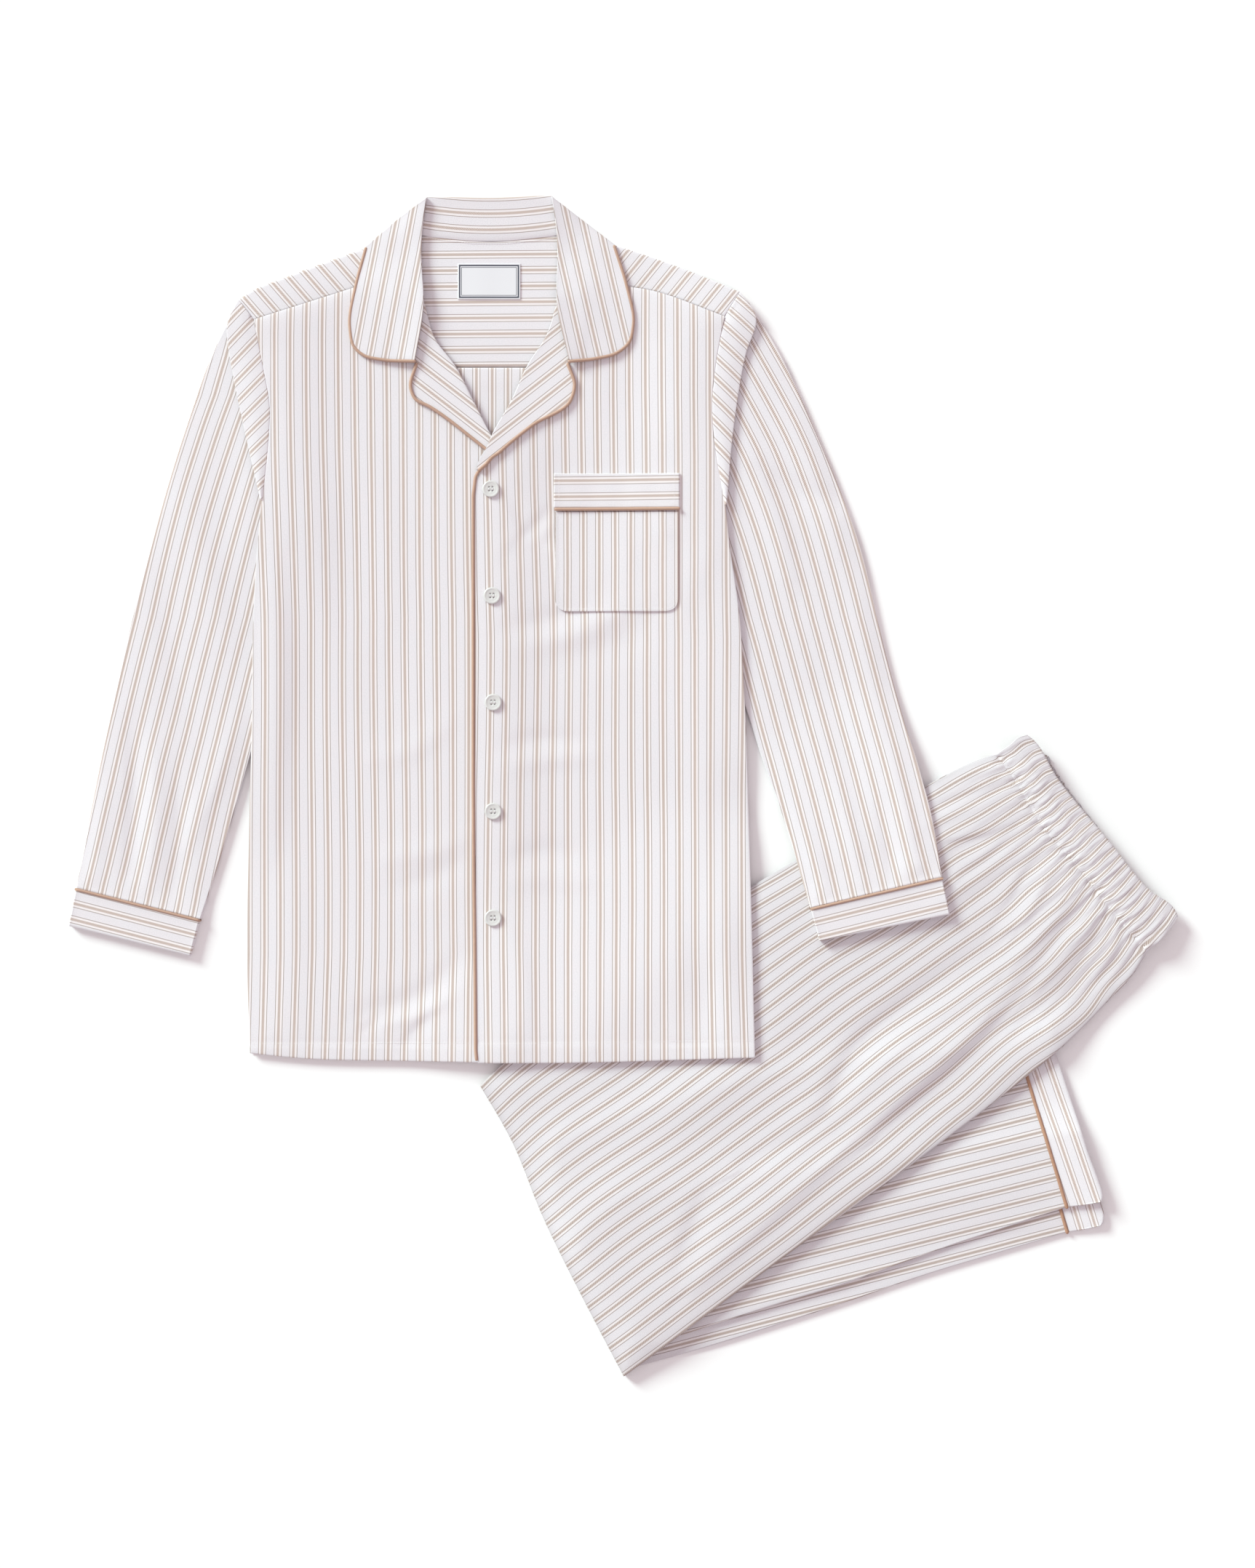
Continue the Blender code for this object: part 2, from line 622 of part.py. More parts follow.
def back_and_yoke(bed, looks):
    """The back, and the yoke that folds over the shoulders to the fronts."""
    back = Panel(shrunk(joined(seam("yoke_back"), seam("armhole_right")[1:], seam("side_right")[1:],
                               seam("hem_right", True), seam("hem_middle", True),
                               seam("hem_left", True), seam("side_left", True)[1:],
                               seam("armhole_left", True)[1:])))
    rims, strips, cuts = [], [], []
    for side, turn, (far, above) in (("left", 1, LEFT_OF_YOKE), ("right", -1, RIGHT_OF_YOKE)):
        front_seam = offset(shorter(seam(f"yoke_seam_{side}"), -PAST), -turn * GAP / 2)
        fold = longer(offset(seam(f"shoulder_{side}"), turn * SIDE_RIM), PAST)
        neck_end = Vector((front_seam[0].x, above))
        cuts += [fold, [neck_end] + front_seam]
        rims.append(fold + [Vector((far, above)), Vector((fold[0].x, above))])
        strips.append([neck_end] + front_seam + [Vector((far, front_seam[-1].y)), Vector((far, above))])
    yoke = Panel(shrunk(joined(seam("yoke_back"), seam("arm_yoke_right", True), seam("arm_top_right", True),
                               seam("shoulder_right", True), seam("neck_seam", True),
                               seam("shoulder_left"), seam("arm_top_left"), seam("arm_yoke_left"))),
                 cuts=cuts)
    in_rim = lambda middle: any(inside(loop, middle) for loop in rims)
    in_strip = lambda middle: in_rim(middle) or any(inside(loop, middle) for loop in strips)
    sheet = bed.rest([back, yoke])
    wall("back", back, sheet, looks["cotton"])
    levels = [sheet, sheet.raised(WALL), sheet.raised(WALL + GAP), sheet.raised(2 * WALL + GAP)]
    solid("yoke", yoke, levels, looks["cotton"], [None, in_rim, in_strip])
    bed.cover([back, yoke], sheet, WALL)
    return yoke, in_strip, sheet


def front(side, bed, looks):
    """A front with the folded head of the sleeve beside it; the right one has a piped edge."""
    arm = [seam(f"arm_yoke_{side}"), seam(f"armhole_{side}")]
    shoulder = seam(f"yoke_seam_{side}")
    roll = seam(f"roll_{side}")
    head = Panel(shrunk(joined(seam(f"head_{side}"), arm[1][::-1], arm[0][::-1],
                               seam(f"arm_top_{side}", True))))
    if side == "left":
        hem = seam("hem_middle", True) + seam("hem_left", True)[1:]
        outline = joined(shoulder[::-1], roll, hem, seam("side_left", True)[1:], arm[1][::-1],
                         arm[0][::-1])
    else:
        edge = seam("front_edge")
        hem = seam("hem_middle")[1:] + seam("hem_right")[1:]
        outline = joined(shoulder[::-1], roll, offset(edge, PIPING), hem, seam("side_right", True)[1:],
                         arm[1][::-1], arm[0][::-1])
    cloth = Panel(shrunk(outline))
    strips = [band_panel(edge)] if side == "right" else []
    sheet = bed.rest([cloth, head] + strips, folds(BODY_FOLDS))
    top = sheet.raised(WALL)
    wall(f"front_{side}", cloth, sheet, looks["cotton"])
    wall(f"sleeve_head_{side}", head, sheet, looks["cotton"])
    for strip in strips:
        solid("front_piping", strip, [sheet, crowned(top, edge)], looks["tan"])
        bed.cover([strip], top, PIPING_RISE)
    bed.cover([cloth, head], top)
    return top


def lapel(side, bed, looks):
    """The turned-back facing and its piping."""
    turn = 1 if side == "left" else -1
    edge = seam(f"lapel_{side}")
    tuck = [Vector(place) for place in LAPEL_TUCK[side]]
    cloth = Panel(shrunk(joined(seam(f"roll_{side}", True), tuck, offset(edge, turn * PIPING))))
    line = edge[::turn]
    strip = band_panel(line)
    sheet = bed.rest([cloth, strip])
    top = sheet.raised(WALL)
    wall(f"lapel_{side}", cloth, sheet, looks["cotton"])
    solid(f"lapel_piping_{side}", strip, [sheet, crowned(top, line)], looks["tan"])
    bed.cover([cloth], top)
    bed.cover([strip], top, PIPING_RISE)


def collar(bed, looks):
    """Stand and leaves in one, folded over at the neck, with the fall behind it."""
    edges = {"left": seam("leaf_edge_left"), "right": seam("leaf_edge_right", True)}
    fold_line = seam("leaf_fold_left", True) + seam("collar_top")[1:] + seam("leaf_fold_right")[1:]
    turned = offset(fold_line, -SIDE_RIM)
    leaf_ends = [fold_line[-1] - Vector((0, PITCH)), fold_line[0] - Vector((0, PITCH))]
    within = turned + leaf_ends
    outline = joined(fold_line, offset(edges["right"], PIPING)[::-1], seam("leaf_roll_right", True),
                     seam("stand", True)[1:-1], seam("leaf_roll_left"), offset(edges["left"], PIPING)[::-1])
    fall = [Vector(place) for place in FALL]
    low, high = fold_line[0].y, fall[0].y
    stops = [[Vector((x, low)), Vector((x, high))] for x in FOLD_ENDS]
    cloth = Panel(shrunk(outline), cuts=[turned, fall] + stops)
    in_fold = lambda middle: (FOLD_ENDS[0] < middle.x < FOLD_ENDS[1] and middle.y > low
                              and not inside(within, middle))
    in_fall = lambda middle: in_fold(middle) or inside(fall, middle)
    ridges = [seam("leaf_roll_left"), seam("leaf_roll_right"), seam("collar_top")]

    def roll(spot):
        near = min(distance(ridge, spot) for ridge in ridges)
        return COLLAR_ROLL * max(0, 1 - near / ROLL_REACH) ** 1.5

    strips = {side: band_panel(line) for side, line in edges.items()}
    sheet = bed.rest([cloth, *strips.values()], roll)
    top = sheet.raised(COLLAR_WALL)
    floor = Sheet(dict.fromkeys(sheet.heights, 0))
    solid("collar", cloth, [floor, floor.raised(WALL), sheet, top], looks["cotton"],
          [in_fall, in_fold, None])
    for side, strip in strips.items():
        solid(f"collar_piping_{side}", strip, [sheet, crowned(top, edges[side])], looks["tan"])


def pocket(bed, looks):
    left, top, right, bottom = POCKET
    rounds = [circle((x, bottom + POCKET_CORNER), POCKET_CORNER, 16)
              for x in (left + POCKET_CORNER, right - POCKET_CORNER)]
    arcs = rounds[0][8:13] + rounds[1][12:] + rounds[1][:1]
    bag = Panel(shrunk([Vector((left, top))] + arcs + [Vector((right, top))]))
    band = Panel(shrunk(rectangle(*POCKET_BAND)))
    line = [Vector((left, top)), Vector((right, top))]
    width = POCKET_BAND[3] - top
    strip = band_panel(line, width)
    sheet = bed.rest([bag, band, strip])
    wall("pocket", bag, sheet, looks["cotton"])
    wall("pocket_band", band, sheet, looks["cotton"])
    solid("pocket_piping", strip, [sheet, crowned(sheet.raised(WALL), line, width)], looks["tan"])


def buttons(cloth_top, looks):
    """Four-hole buttons with a raised rim, lying on the right front."""
    for number, centre in enumerate(BUTTONS, start=1):
        dish = circle(centre, BUTTON_DISH, 20)
        holes = [circle((centre[0] + dx, centre[1] + dy), BUTTON_HOLE, 6)
                 for dx in (-HOLE_PITCH / 2, HOLE_PITCH / 2) for dy in (-HOLE_PITCH / 2, HOLE_PITCH / 2)]
        disc = Panel(circle(centre, BUTTON_RADIUS, 24), cuts=[dish + dish[:1]], holes=holes,
                     on_lattice=False)
        seat = max(cloth_top(spot) for spot in disc.spots) + GAP
        heights = [seat, seat + BUTTON_PLATE, seat + BUTTON_PLATE + BUTTON_RIM]
        levels = [lambda spot, h=height: h for height in heights]
        on_rim = lambda middle, ring=dish: not inside(ring, middle)
        solid(f"button_{number}", disc, levels, looks["pearl"], [None, on_rim])


def label(bed, looks):
    panel = Panel(rectangle(*LABEL))
    wall("neck_label", panel, bed.rest([panel]), looks["paper"], LABEL_WALL)


# ---------------------------------------------------------------- the whole set
def stand_on_origin():
    """Hangs every piece on one empty, with the origin under the middle of the set."""
    things = [thing for thing in bpy.data.objects if thing.type == "MESH"]
    places = [thing.matrix_world @ Vector(corner) for thing in things for corner in thing.bound_box]
    low = Vector([min(place[axis] for place in places) for axis in range(3)])
    high = Vector([max(place[axis] for place in places) for axis in range(3)])
    middle = Vector(((low.x + high.x) / 2, (low.y + high.y) / 2, low.z))
    holder = bpy.data.objects.new("pyjama_set", None)
    bpy.context.collection.objects.link(holder)
    for thing in things:
        thing.data.transform(Matrix.Translation(-middle))
        thing.parent = holder
        thing.data.shade_smooth()
        thing.data.set_sharp_from_angle(angle=math.radians(35))


def main():
    for thing in list(bpy.data.objects):
        bpy.data.objects.remove(thing, do_unlink=True)
    looks = {"cotton": look("striped_cotton", COTTON, 0.9), "lining": look("shaded_cotton", LINING, 0.9),
             "tan": look("tan_piping", TAN, 0.85), "pearl": look("pearl_button", PEARL, 0.3),
             "paper": look("woven_label", PAPER, 0.7)}
    bed = Bed()
    trousers(bed, looks)
    for side in ("left", "right"):
        sleeve(side, bed, looks)
    yoke, in_strip, yoke_sheet = back_and_yoke(bed, looks)
    label(bed, looks)
    front("left", bed, looks)
    lapel("left", bed, looks)
    buttons(front("right", bed, looks), looks)
    lapel("right", bed, looks)
    pocket(bed, looks)
    shoulders = {corner for _, middle in yoke.faces if in_strip(middle) for corner, _ in cell(middle)}
    for corner in shoulders:
        bed.top[corner] = max(bed.top[corner], yoke_sheet.heights[corner] + 2 * WALL + GAP)
    collar(bed, looks)
    stand_on_origin()


main()
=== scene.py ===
"""A pyjama set laid flat: trousers folded at the knee, and the shirt lying partly on them.

The pieces follow each other as they are laid down, from the floor up. Their lines are in
millimetres, across and up as seen from above, and MM turns them into metres.
"""
import math

import bpy
import numpy as np
from mathutils.geometry import delaunay_2d_cdt
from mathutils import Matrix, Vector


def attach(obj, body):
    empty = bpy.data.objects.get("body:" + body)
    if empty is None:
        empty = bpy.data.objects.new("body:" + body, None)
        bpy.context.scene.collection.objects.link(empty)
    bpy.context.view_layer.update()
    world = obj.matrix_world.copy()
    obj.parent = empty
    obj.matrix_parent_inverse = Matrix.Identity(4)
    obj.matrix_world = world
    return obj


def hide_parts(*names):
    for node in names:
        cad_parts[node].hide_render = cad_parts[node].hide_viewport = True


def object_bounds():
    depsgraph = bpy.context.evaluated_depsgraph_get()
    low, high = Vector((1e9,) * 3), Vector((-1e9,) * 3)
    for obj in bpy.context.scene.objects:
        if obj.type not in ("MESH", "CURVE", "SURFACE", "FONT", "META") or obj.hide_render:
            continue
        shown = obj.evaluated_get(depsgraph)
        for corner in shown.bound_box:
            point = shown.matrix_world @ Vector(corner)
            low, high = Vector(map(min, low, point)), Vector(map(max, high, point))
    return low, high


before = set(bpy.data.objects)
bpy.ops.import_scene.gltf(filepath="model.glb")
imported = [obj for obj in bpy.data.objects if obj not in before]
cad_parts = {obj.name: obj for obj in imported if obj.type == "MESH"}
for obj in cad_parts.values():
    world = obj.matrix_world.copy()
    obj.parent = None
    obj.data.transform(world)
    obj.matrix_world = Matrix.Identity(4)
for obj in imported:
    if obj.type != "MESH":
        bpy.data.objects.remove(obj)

packed_size = [list(corner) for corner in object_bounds()]


# ------------------------------------------------------------------------------ lower legs
# The ends of the legs: sewn tubes of brushed ticking cotton, pressed flat and turned back at
# the knee, so that the hems lie beside the waist. Each ends in a turned-up band of the same
# cloth, cut the other way of the stripe, with a round piping caught in the seam between them.

MM = 0.001


def through(*points, step=2.0):
    """A smooth line through the points."""
    spots = np.array(points, float)
    runs = np.diff(spots, axis=0)
    sizes = np.hypot(*runs.T)[:, None]
    turns = (runs[:-1] / sizes[:-1] * sizes[1:] + runs[1:] / sizes[1:] * sizes[:-1])
    turns = turns / (sizes[:-1] + sizes[1:])
    slopes = np.vstack([runs[:1] / sizes[0], turns, runs[-1:] / sizes[-1]])
    line = []
    for k, size in enumerate(sizes[:, 0]):
        t = np.arange(0, 1, min(0.5, step / size))[:, None]
        line.append((1 + 2 * t) * (1 - t) ** 2 * spots[k] + t * t * (3 - 2 * t) * spots[k + 1]
                    + t * (1 - t) * size * ((1 - t) * slopes[k] - t * slopes[k + 1]))
    return np.vstack(line + [spots[-1:]])


def long(line):
    """A line's length."""
    return np.linalg.norm(np.diff(line, axis=0), axis=-1).sum()


def way_along(line):
    """How far along a row of spots each one lies."""
    return np.append(0, np.cumsum(np.linalg.norm(np.diff(line, axis=0), axis=-1)))


def spaced(line, shares):
    """Spots at these shares of a line's length."""
    along = way_along(line)
    wanted = np.asarray(shares) * along[-1]
    return np.stack([np.interp(wanted, along, place) for place in line.T], -1)


def beside(line, amount):
    """The line moved to its left."""
    run = np.gradient(line, axis=0)
    run /= np.linalg.norm(run, axis=1)[:, None]
    return line + amount * np.stack([-run[:, 1], run[:, 0]], -1)


NEAR_EDGE = 1.6         # how far the outermost inner row of spots lies from the edge


def shares_of(count, size):
    """Even shares of a side, with one more near each end, where the cloth turns over."""
    even = np.linspace(0, 1, count + 1)
    near = min(NEAR_EDGE / size, even[1] / 2)
    return np.insert(even, (1, -1), (near, 1 - near))


def patch(side, other, start=None, end=None, pitch=3.5, rows=None, columns=None):
    """Rows of spots over the cloth between two sides, which run from start to end."""
    start = np.array([side[0], other[0]]) if start is None else start
    end = np.array([side[-1], other[-1]]) if end is None else end
    width = max(long(start), long(end), np.linalg.norm(spaced(side, 0.5) - spaced(other, 0.5)))
    rows = rows or max(3, round(max(long(side), long(other)) / pitch))
    columns = columns or max(3, round(width / pitch))
    s, t = shares_of(rows, max(long(side), long(other))), shares_of(columns, width)
    a, b, c, d = spaced(side, s), spaced(other, s), spaced(start, t), spaced(end, t)
    s, t = s[:, None, None], t[None, :, None]
    corners = (1 - s) * ((1 - t) * a[0] + t * b[0]) + s * ((1 - t) * a[-1] + t * b[-1])
    return (1 - t) * a[:, None] + t * b[:, None] + (1 - s) * c[None] + s * d[None] - corners


def widened(cells):
    """Each cell takes the highest value of its neighbours."""
    cells = cells.copy()
    cells[1:-1] = np.maximum(cells[1:-1], np.maximum(cells[:-2], cells[2:]))
    cells[:, 1:-1] = np.maximum(cells[:, 1:-1], np.maximum(cells[:, :-2], cells[:, 2:]))
    return cells


def softened(heights, inside, times):
    """Heights evened out within a region."""
    share, heights = inside.astype(float), np.where(inside, heights, 0)
    for _ in range(times):
        for cells in (share, heights):
            cells[1:-1] = (cells[:-2] + 2 * cells[1:-1] + cells[2:]) / 4
            cells[:, 1:-1] = (cells[:, :-2] + 2 * cells[:, 1:-1] + cells[:, 2:]) / 4
    return np.where(inside, heights / np.maximum(share, 1e-6), 0)


def finer(grid, axis):
    """The grid with a row halfway between every two rows."""
    count = grid.shape[axis]
    halves = (np.take(grid, range(1, count), axis) + np.take(grid, range(count - 1), axis)) / 2
    return np.insert(grid, range(1, count), halves, axis)


class Bed:
    """How high all that is laid down so far stands, cell by cell."""
    cell, margin = 2.0, 40.0
    highest_step, bare = 7, -99     # what a sheet can fall over, and the mark of an empty cell

    def __init__(self):
        low, high = (np.array(corner)[:2] / MM for corner in packed_size)
        self.low = low - self.margin
        self.tops = np.zeros(np.ceil((high - low + 2 * self.margin) / self.cell).astype(int))

    def cells(self, spots):
        """Places counted in cells."""
        return (spots - self.low) / self.cell

    def read(self, spots, heights=None):
        """Heights at the spots."""
        heights = self.tops if heights is None else heights
        place = self.cells(spots)
        x, y = np.moveaxis(np.floor(place).astype(int), -1, 0)
        u, v = np.moveaxis(place - np.floor(place), -1, 0)
        return ((1 - u) * (1 - v) * heights[x, y] + u * (1 - v) * heights[x + 1, y]
                + (1 - u) * v * heights[x, y + 1] + u * v * heights[x + 1, y + 1])

    def layer(self, spots, tops):
        """The cells that a grid of spots covers, with the grid's heights in them."""
        for axis in (0, 1):
            spots, tops = finer(spots, axis), finer(tops, axis)
        x, y = np.moveaxis(np.rint(self.cells(spots)).astype(int), -1, 0)
        cells = np.full(self.tops.shape, -1.0)
        np.maximum.at(cells, (x.ravel(), y.ravel()), tops.ravel())
        return np.where(cells < 0, widened(cells), cells)

    def press(self, spots, tops):
        """Add a piece whose upper face lies at these heights."""
        self.tops = np.maximum(self.tops, self.layer(spots, tops))

    def rest(self, *grids, fall=0.25, air=0.25, soft=14):
        """Where the underside of one sheet over these grids comes to lie."""
        over = np.zeros(self.tops.shape, bool)
        for spots in grids:
            over |= self.layer(spots, np.zeros(spots.shape[:2])) >= 0
        for _ in range(3):
            over = widened(over)
        x, y = (np.flatnonzero(over.any(axis)) for axis in (1, 0))
        window = slice(x[0] - 1, x[-1] + 2), slice(y[0] - 1, y[-1] + 2)
        over, lying = over[window], self.tops[window]
        lying = lying + np.where(lying > 0, air, 0)
        heights = np.where(over, lying, self.bare)
        for _ in range(round(self.highest_step / fall)):
            spread = widened(heights) - fall * self.cell
            heights = np.where(over, np.maximum(heights, spread), self.bare)
        for _ in range(3):
            heights = softened(heights, over, soft)
            heights = np.where(over, np.maximum(heights, lying - 0.6 * air), 0)
        found = np.zeros(self.tops.shape)
        found[window] = softened(heights, over, 2)
        return lambda spots: np.maximum(self.read(spots, found), 0)


def from_edge(spots):
    """How far each spot lies from the edge of its grid."""
    edges = (spots[:1], spots[-1:], spots[:, :1], spots[:, -1:])
    return np.min([np.linalg.norm(spots - edge, axis=-1) for edge in edges], axis=0)


def from_line(spots, line):
    """How far each spot lies from a line."""
    best = np.full(spots.shape[:-1], np.inf)
    for a, b in zip(line, line[1:]):
        run = b - a
        along = np.clip(((spots - a) @ run) / (run @ run), 0, 1)
        best = np.minimum(best, np.linalg.norm(spots - a - along[..., None] * run, axis=-1))
    return best


DRAWS_IN = 40           # how far from a crease it still draws the cloth in


def creases(spots, table, pull=0.6):
    """Soft ridges, or troughs with a negative rise: a line, its reach to both sides and its rise.

    A crease draws cloth in, so the second result says where the cloth at each spot came from.
    """
    total, source = np.zeros(spots.shape[:-1]), spots.copy()
    for line, left, right, rise in table:
        line = through(*line, step=12) if len(line) > 2 else np.array(line, float)
        best = np.full(total.shape, np.inf)
        share, side, away = np.zeros(total.shape), np.zeros(total.shape), np.zeros(spots.shape)
        for k, (a, b) in enumerate(zip(line, line[1:])):
            run = b - a
            along = np.clip(((spots - a) @ run) / (run @ run), 0, 1)
            off = spots - (a + along[..., None] * run)
            far = np.linalg.norm(off, axis=-1)
            near = far < best
            best = np.where(near, far, best)
            share = np.where(near, (k + along) / (len(line) - 1), share)
            side = np.where(near, run[0] * off[..., 1] - run[1] * off[..., 0], side)
            away = np.where(near[..., None], off, away)
        reach = np.where(side > 0, left, right)
        fade = np.sin(math.pi * (0.06 + 0.88 * share)) ** 0.7
        total += rise * np.exp(-(best / reach) ** 2) * fade
        drawn = pull * abs(rise) / np.hypot(best, reach) * np.exp(-best / DRAWS_IN) * fade
        source += away * drawn[..., None]
    return total, source


def mesh_object(name, corners, faces, cut, cloth, fold=None):
    """A smooth mesh; cut holds each corner's place on the cloth as it came off the loom.

    fold holds painted shade along the cloth's edges: the higher it is, the darker its colour is
    painted.
    """
    mesh = bpy.data.meshes.new(name + "_cloth")
    mesh.from_pydata(corners * MM, [], faces)
    mesh.validate()
    layer = mesh.uv_layers.new(name="cut")
    corner_of = np.empty(len(mesh.loops), int)
    mesh.loops.foreach_get("vertex_index", corner_of)
    layer.uv.foreach_set("vector", (cut[corner_of] * MM).astype(np.float32).ravel())
    # painted shade along the edges, which the cloth's material reads
    if fold is not None:
        shade = mesh.attributes.new("fold", "FLOAT", "POINT")
        shade.data.foreach_set("value", fold.astype(np.float32))
    mesh.materials.append(cloth)
    mesh.shade_smooth()
    thing = bpy.data.objects.new(mesh.name, mesh)
    bpy.context.collection.objects.link(thing)
    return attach(thing, "root")


def loops_of_faces(first, second):
    """Faces between two closed loops of corner numbers."""
    return np.stack([first, np.roll(first, -1), np.roll(second, -1), second], -1)


def facing_up(faces, spots):
    """The faces as a list, turned over if the grid that they belong to runs the other way."""
    right_way = np.cross(np.gradient(spots, axis=1), np.gradient(spots, axis=0)).mean() > 0
    return (faces if right_way else faces[:, ::-1]).tolist()


def edge_profile(plies=1, steps=4):
    """Round edges, one above the other: each step's set-back, and its share of the height."""
    turn = np.linspace(0, math.pi, steps + 1)[1:-1]
    back, share = [], []
    for ply in range(plies):
        back += list(1 - np.sin(turn)) + [1.0]
        share += list((ply + 0.5 - 0.5 * np.cos(turn)) / plies) + [(ply + 1) / plies]
    return list(zip(back[:-1], share[:-1]))


ROUND = 1.0             # the largest radius of a folded edge
KEEP_OFF = 0.8          # how much of the gap to the next row of spots a round edge may take
SEAM_FADE = 5.0         # how far from a seam the painted edge shade begins


def painted_edge_shade(spots, much=0.5, sewn=()):
    """How much painted shade each spot takes towards the edge of its grid; none along the sewn
    lines.
    """
    fold = much * np.exp(-from_edge(spots) / (0.8 + 1.8 * much))
    for line in sewn:
        fold *= np.clip(from_line(spots, line) / SEAM_FADE, 0, 1)
    return fold


def tube(name, spots, under, top, thick, cut, cloth, much=0.5):
    """A flattened tube of cloth, open at both ends, with its sides turned over round."""
    first_gap = np.linalg.norm(spots[:, 1] - spots[:, 0], axis=-1)
    last_gap = np.linalg.norm(spots[:, -1] - spots[:, -2], axis=-1)
    profile = edge_profile()

    def loops(inset):
        """Closed loops round the tube, one for each row, this far inside its outer face."""
        high, low = top - inset, under + inset
        middle = (high + low) / 2
        high, low = np.maximum(high, middle + 0.1), np.minimum(low, middle - 0.1)
        across = spots[:, -1] - spots[:, 0]
        across /= np.linalg.norm(across, axis=1)[:, None]
        deep = np.minimum((high - low) / 2, ROUND)
        deep[:, 0] = np.minimum(deep[:, 0], KEEP_OFF * first_gap)
        deep[:, -1] = np.minimum(deep[:, -1], KEEP_OFF * last_gap)
        moved = spots.copy()
        moved[:, 0] += across * (inset + deep[:, :1])
        moved[:, -1] -= across * (inset + deep[:, -1:])

        def rim(side, sign, steps):
            """The rounded edge along one side."""
            base, rise = low[:, side], high[:, side] - low[:, side]
            return np.stack([np.column_stack([
                spots[:, side] + sign * across * (inset + deep[:, side, None] * back),
                base + rise * share]) for back, share in steps], 1)

        return np.concatenate([np.dstack([moved, high]), rim(-1, -1, profile[::-1]),
                               np.dstack([moved, low])[:, ::-1], rim(0, 1, profile)], 1)

    outer, inner = loops(0.0), loops(thick)
    edge = len(profile)
    past = 0.5 * np.arange(1, edge + 1)[:, None]      # the cloth goes on round the edge
    first_step = (cut[:, :1] - cut[:, 1:2]) / first_gap[:, None, None]
    last_step = (cut[:, -1:] - cut[:, -2:-1]) / last_gap[:, None, None]
    around = np.concatenate([cut, cut[:, -1:] + last_step * past, cut[:, ::-1],
                             cut[:, :1] + first_step * past[::-1]], 1)
    # painted shade along the edges, carried on round the rims
    fold = painted_edge_shade(spots, much)
    fold = np.concatenate([fold, np.repeat(fold[:, -1:], edge, 1), fold[:, ::-1],
                           np.repeat(fold[:, :1], edge, 1)], 1)

    def lip(row, next_row):
        """The rounded end of the cloth, halfway between the outer and inner face."""
        middle = (outer[row] + inner[row]) / 2
        return (middle + (outer[row] - outer[next_row]) * (0.25 * thick))[None]

    rings = np.concatenate([outer, lip(-1, -2), inner[::-1], lip(0, 1)])
    cuts = np.concatenate([around, around[-1:], around[::-1], around[:1]])
    folds = np.concatenate([fold, fold[-1:], fold[::-1], fold[:1]])
    count, size = rings.shape[:2]
    number = np.arange(count * size).reshape(count, size)
    faces = np.vstack([loops_of_faces(number[k], number[(k + 1) % count]) for k in range(count)])
    return mesh_object(name, rings.reshape(-1, 3), facing_up(faces, spots),
                       cuts.reshape(-1, 2), cloth, folds.ravel())


PAST_END, SMALLER = np.array([(0.6, 0.75), (0.9, 0.25)]).T      # the rings that round a cord's end


def round_trim(name, line, radius, cloth, closed=False, sides=10):
    """A round cord in a strip of cloth, along a line in space."""
    line = np.asarray(line, float)
    run = (np.roll(line, -1, 0) - np.roll(line, 1, 0)) if closed else np.gradient(line, axis=0)
    run /= np.linalg.norm(run, axis=1)[:, None]
    side = np.cross(run, (0.0, 0.0, 1.0))
    side /= np.maximum(np.linalg.norm(side, axis=1), 1e-6)[:, None]
    up = np.cross(side, run)
    along = way_along(line)
    sizes = np.full(len(line), float(radius))
    if not closed:
        line = np.vstack([line[0] - run[0] * radius * PAST_END[::-1, None], line,
                          line[-1] + run[-1] * radius * PAST_END[:, None]])
        sizes = np.concatenate([radius * SMALLER[::-1], sizes, radius * SMALLER])
        side, up = (np.pad(part, ((2, 2), (0, 0)), "edge") for part in (side, up))
        along = np.pad(along, 2, "edge")
    turn = np.arange(sides) * 2 * math.pi / sides
    around = np.cos(turn)[None, :, None] * side[:, None] + np.sin(turn)[None, :, None] * up[:, None]
    rings = line[:, None] + sizes[:, None, None] * around
    number = np.arange(rings.shape[0] * sides).reshape(-1, sides)
    pairs = zip(number, np.roll(number, -1, 0)) if closed else zip(number, number[1:])
    faces = [list(face) for a, b in pairs for face in loops_of_faces(a, b)[:, ::-1]]
    if not closed:
        faces += [list(number[0]), list(number[-1][::-1])]
    cut = np.dstack(np.broadcast_arrays(turn * radius, along[:, None]))
    return mesh_object(name, rings.reshape(-1, 3), faces, cut.reshape(-1, 2), cloth)


def linear(*colour):
    """A colour as a screen shows it, in the units that light adds up in."""
    return tuple((c / 255 / 12.92 if c <= 10 else ((c / 255 + 0.055) / 1.055) ** 2.4)
                 for c in colour) + (1.0,)


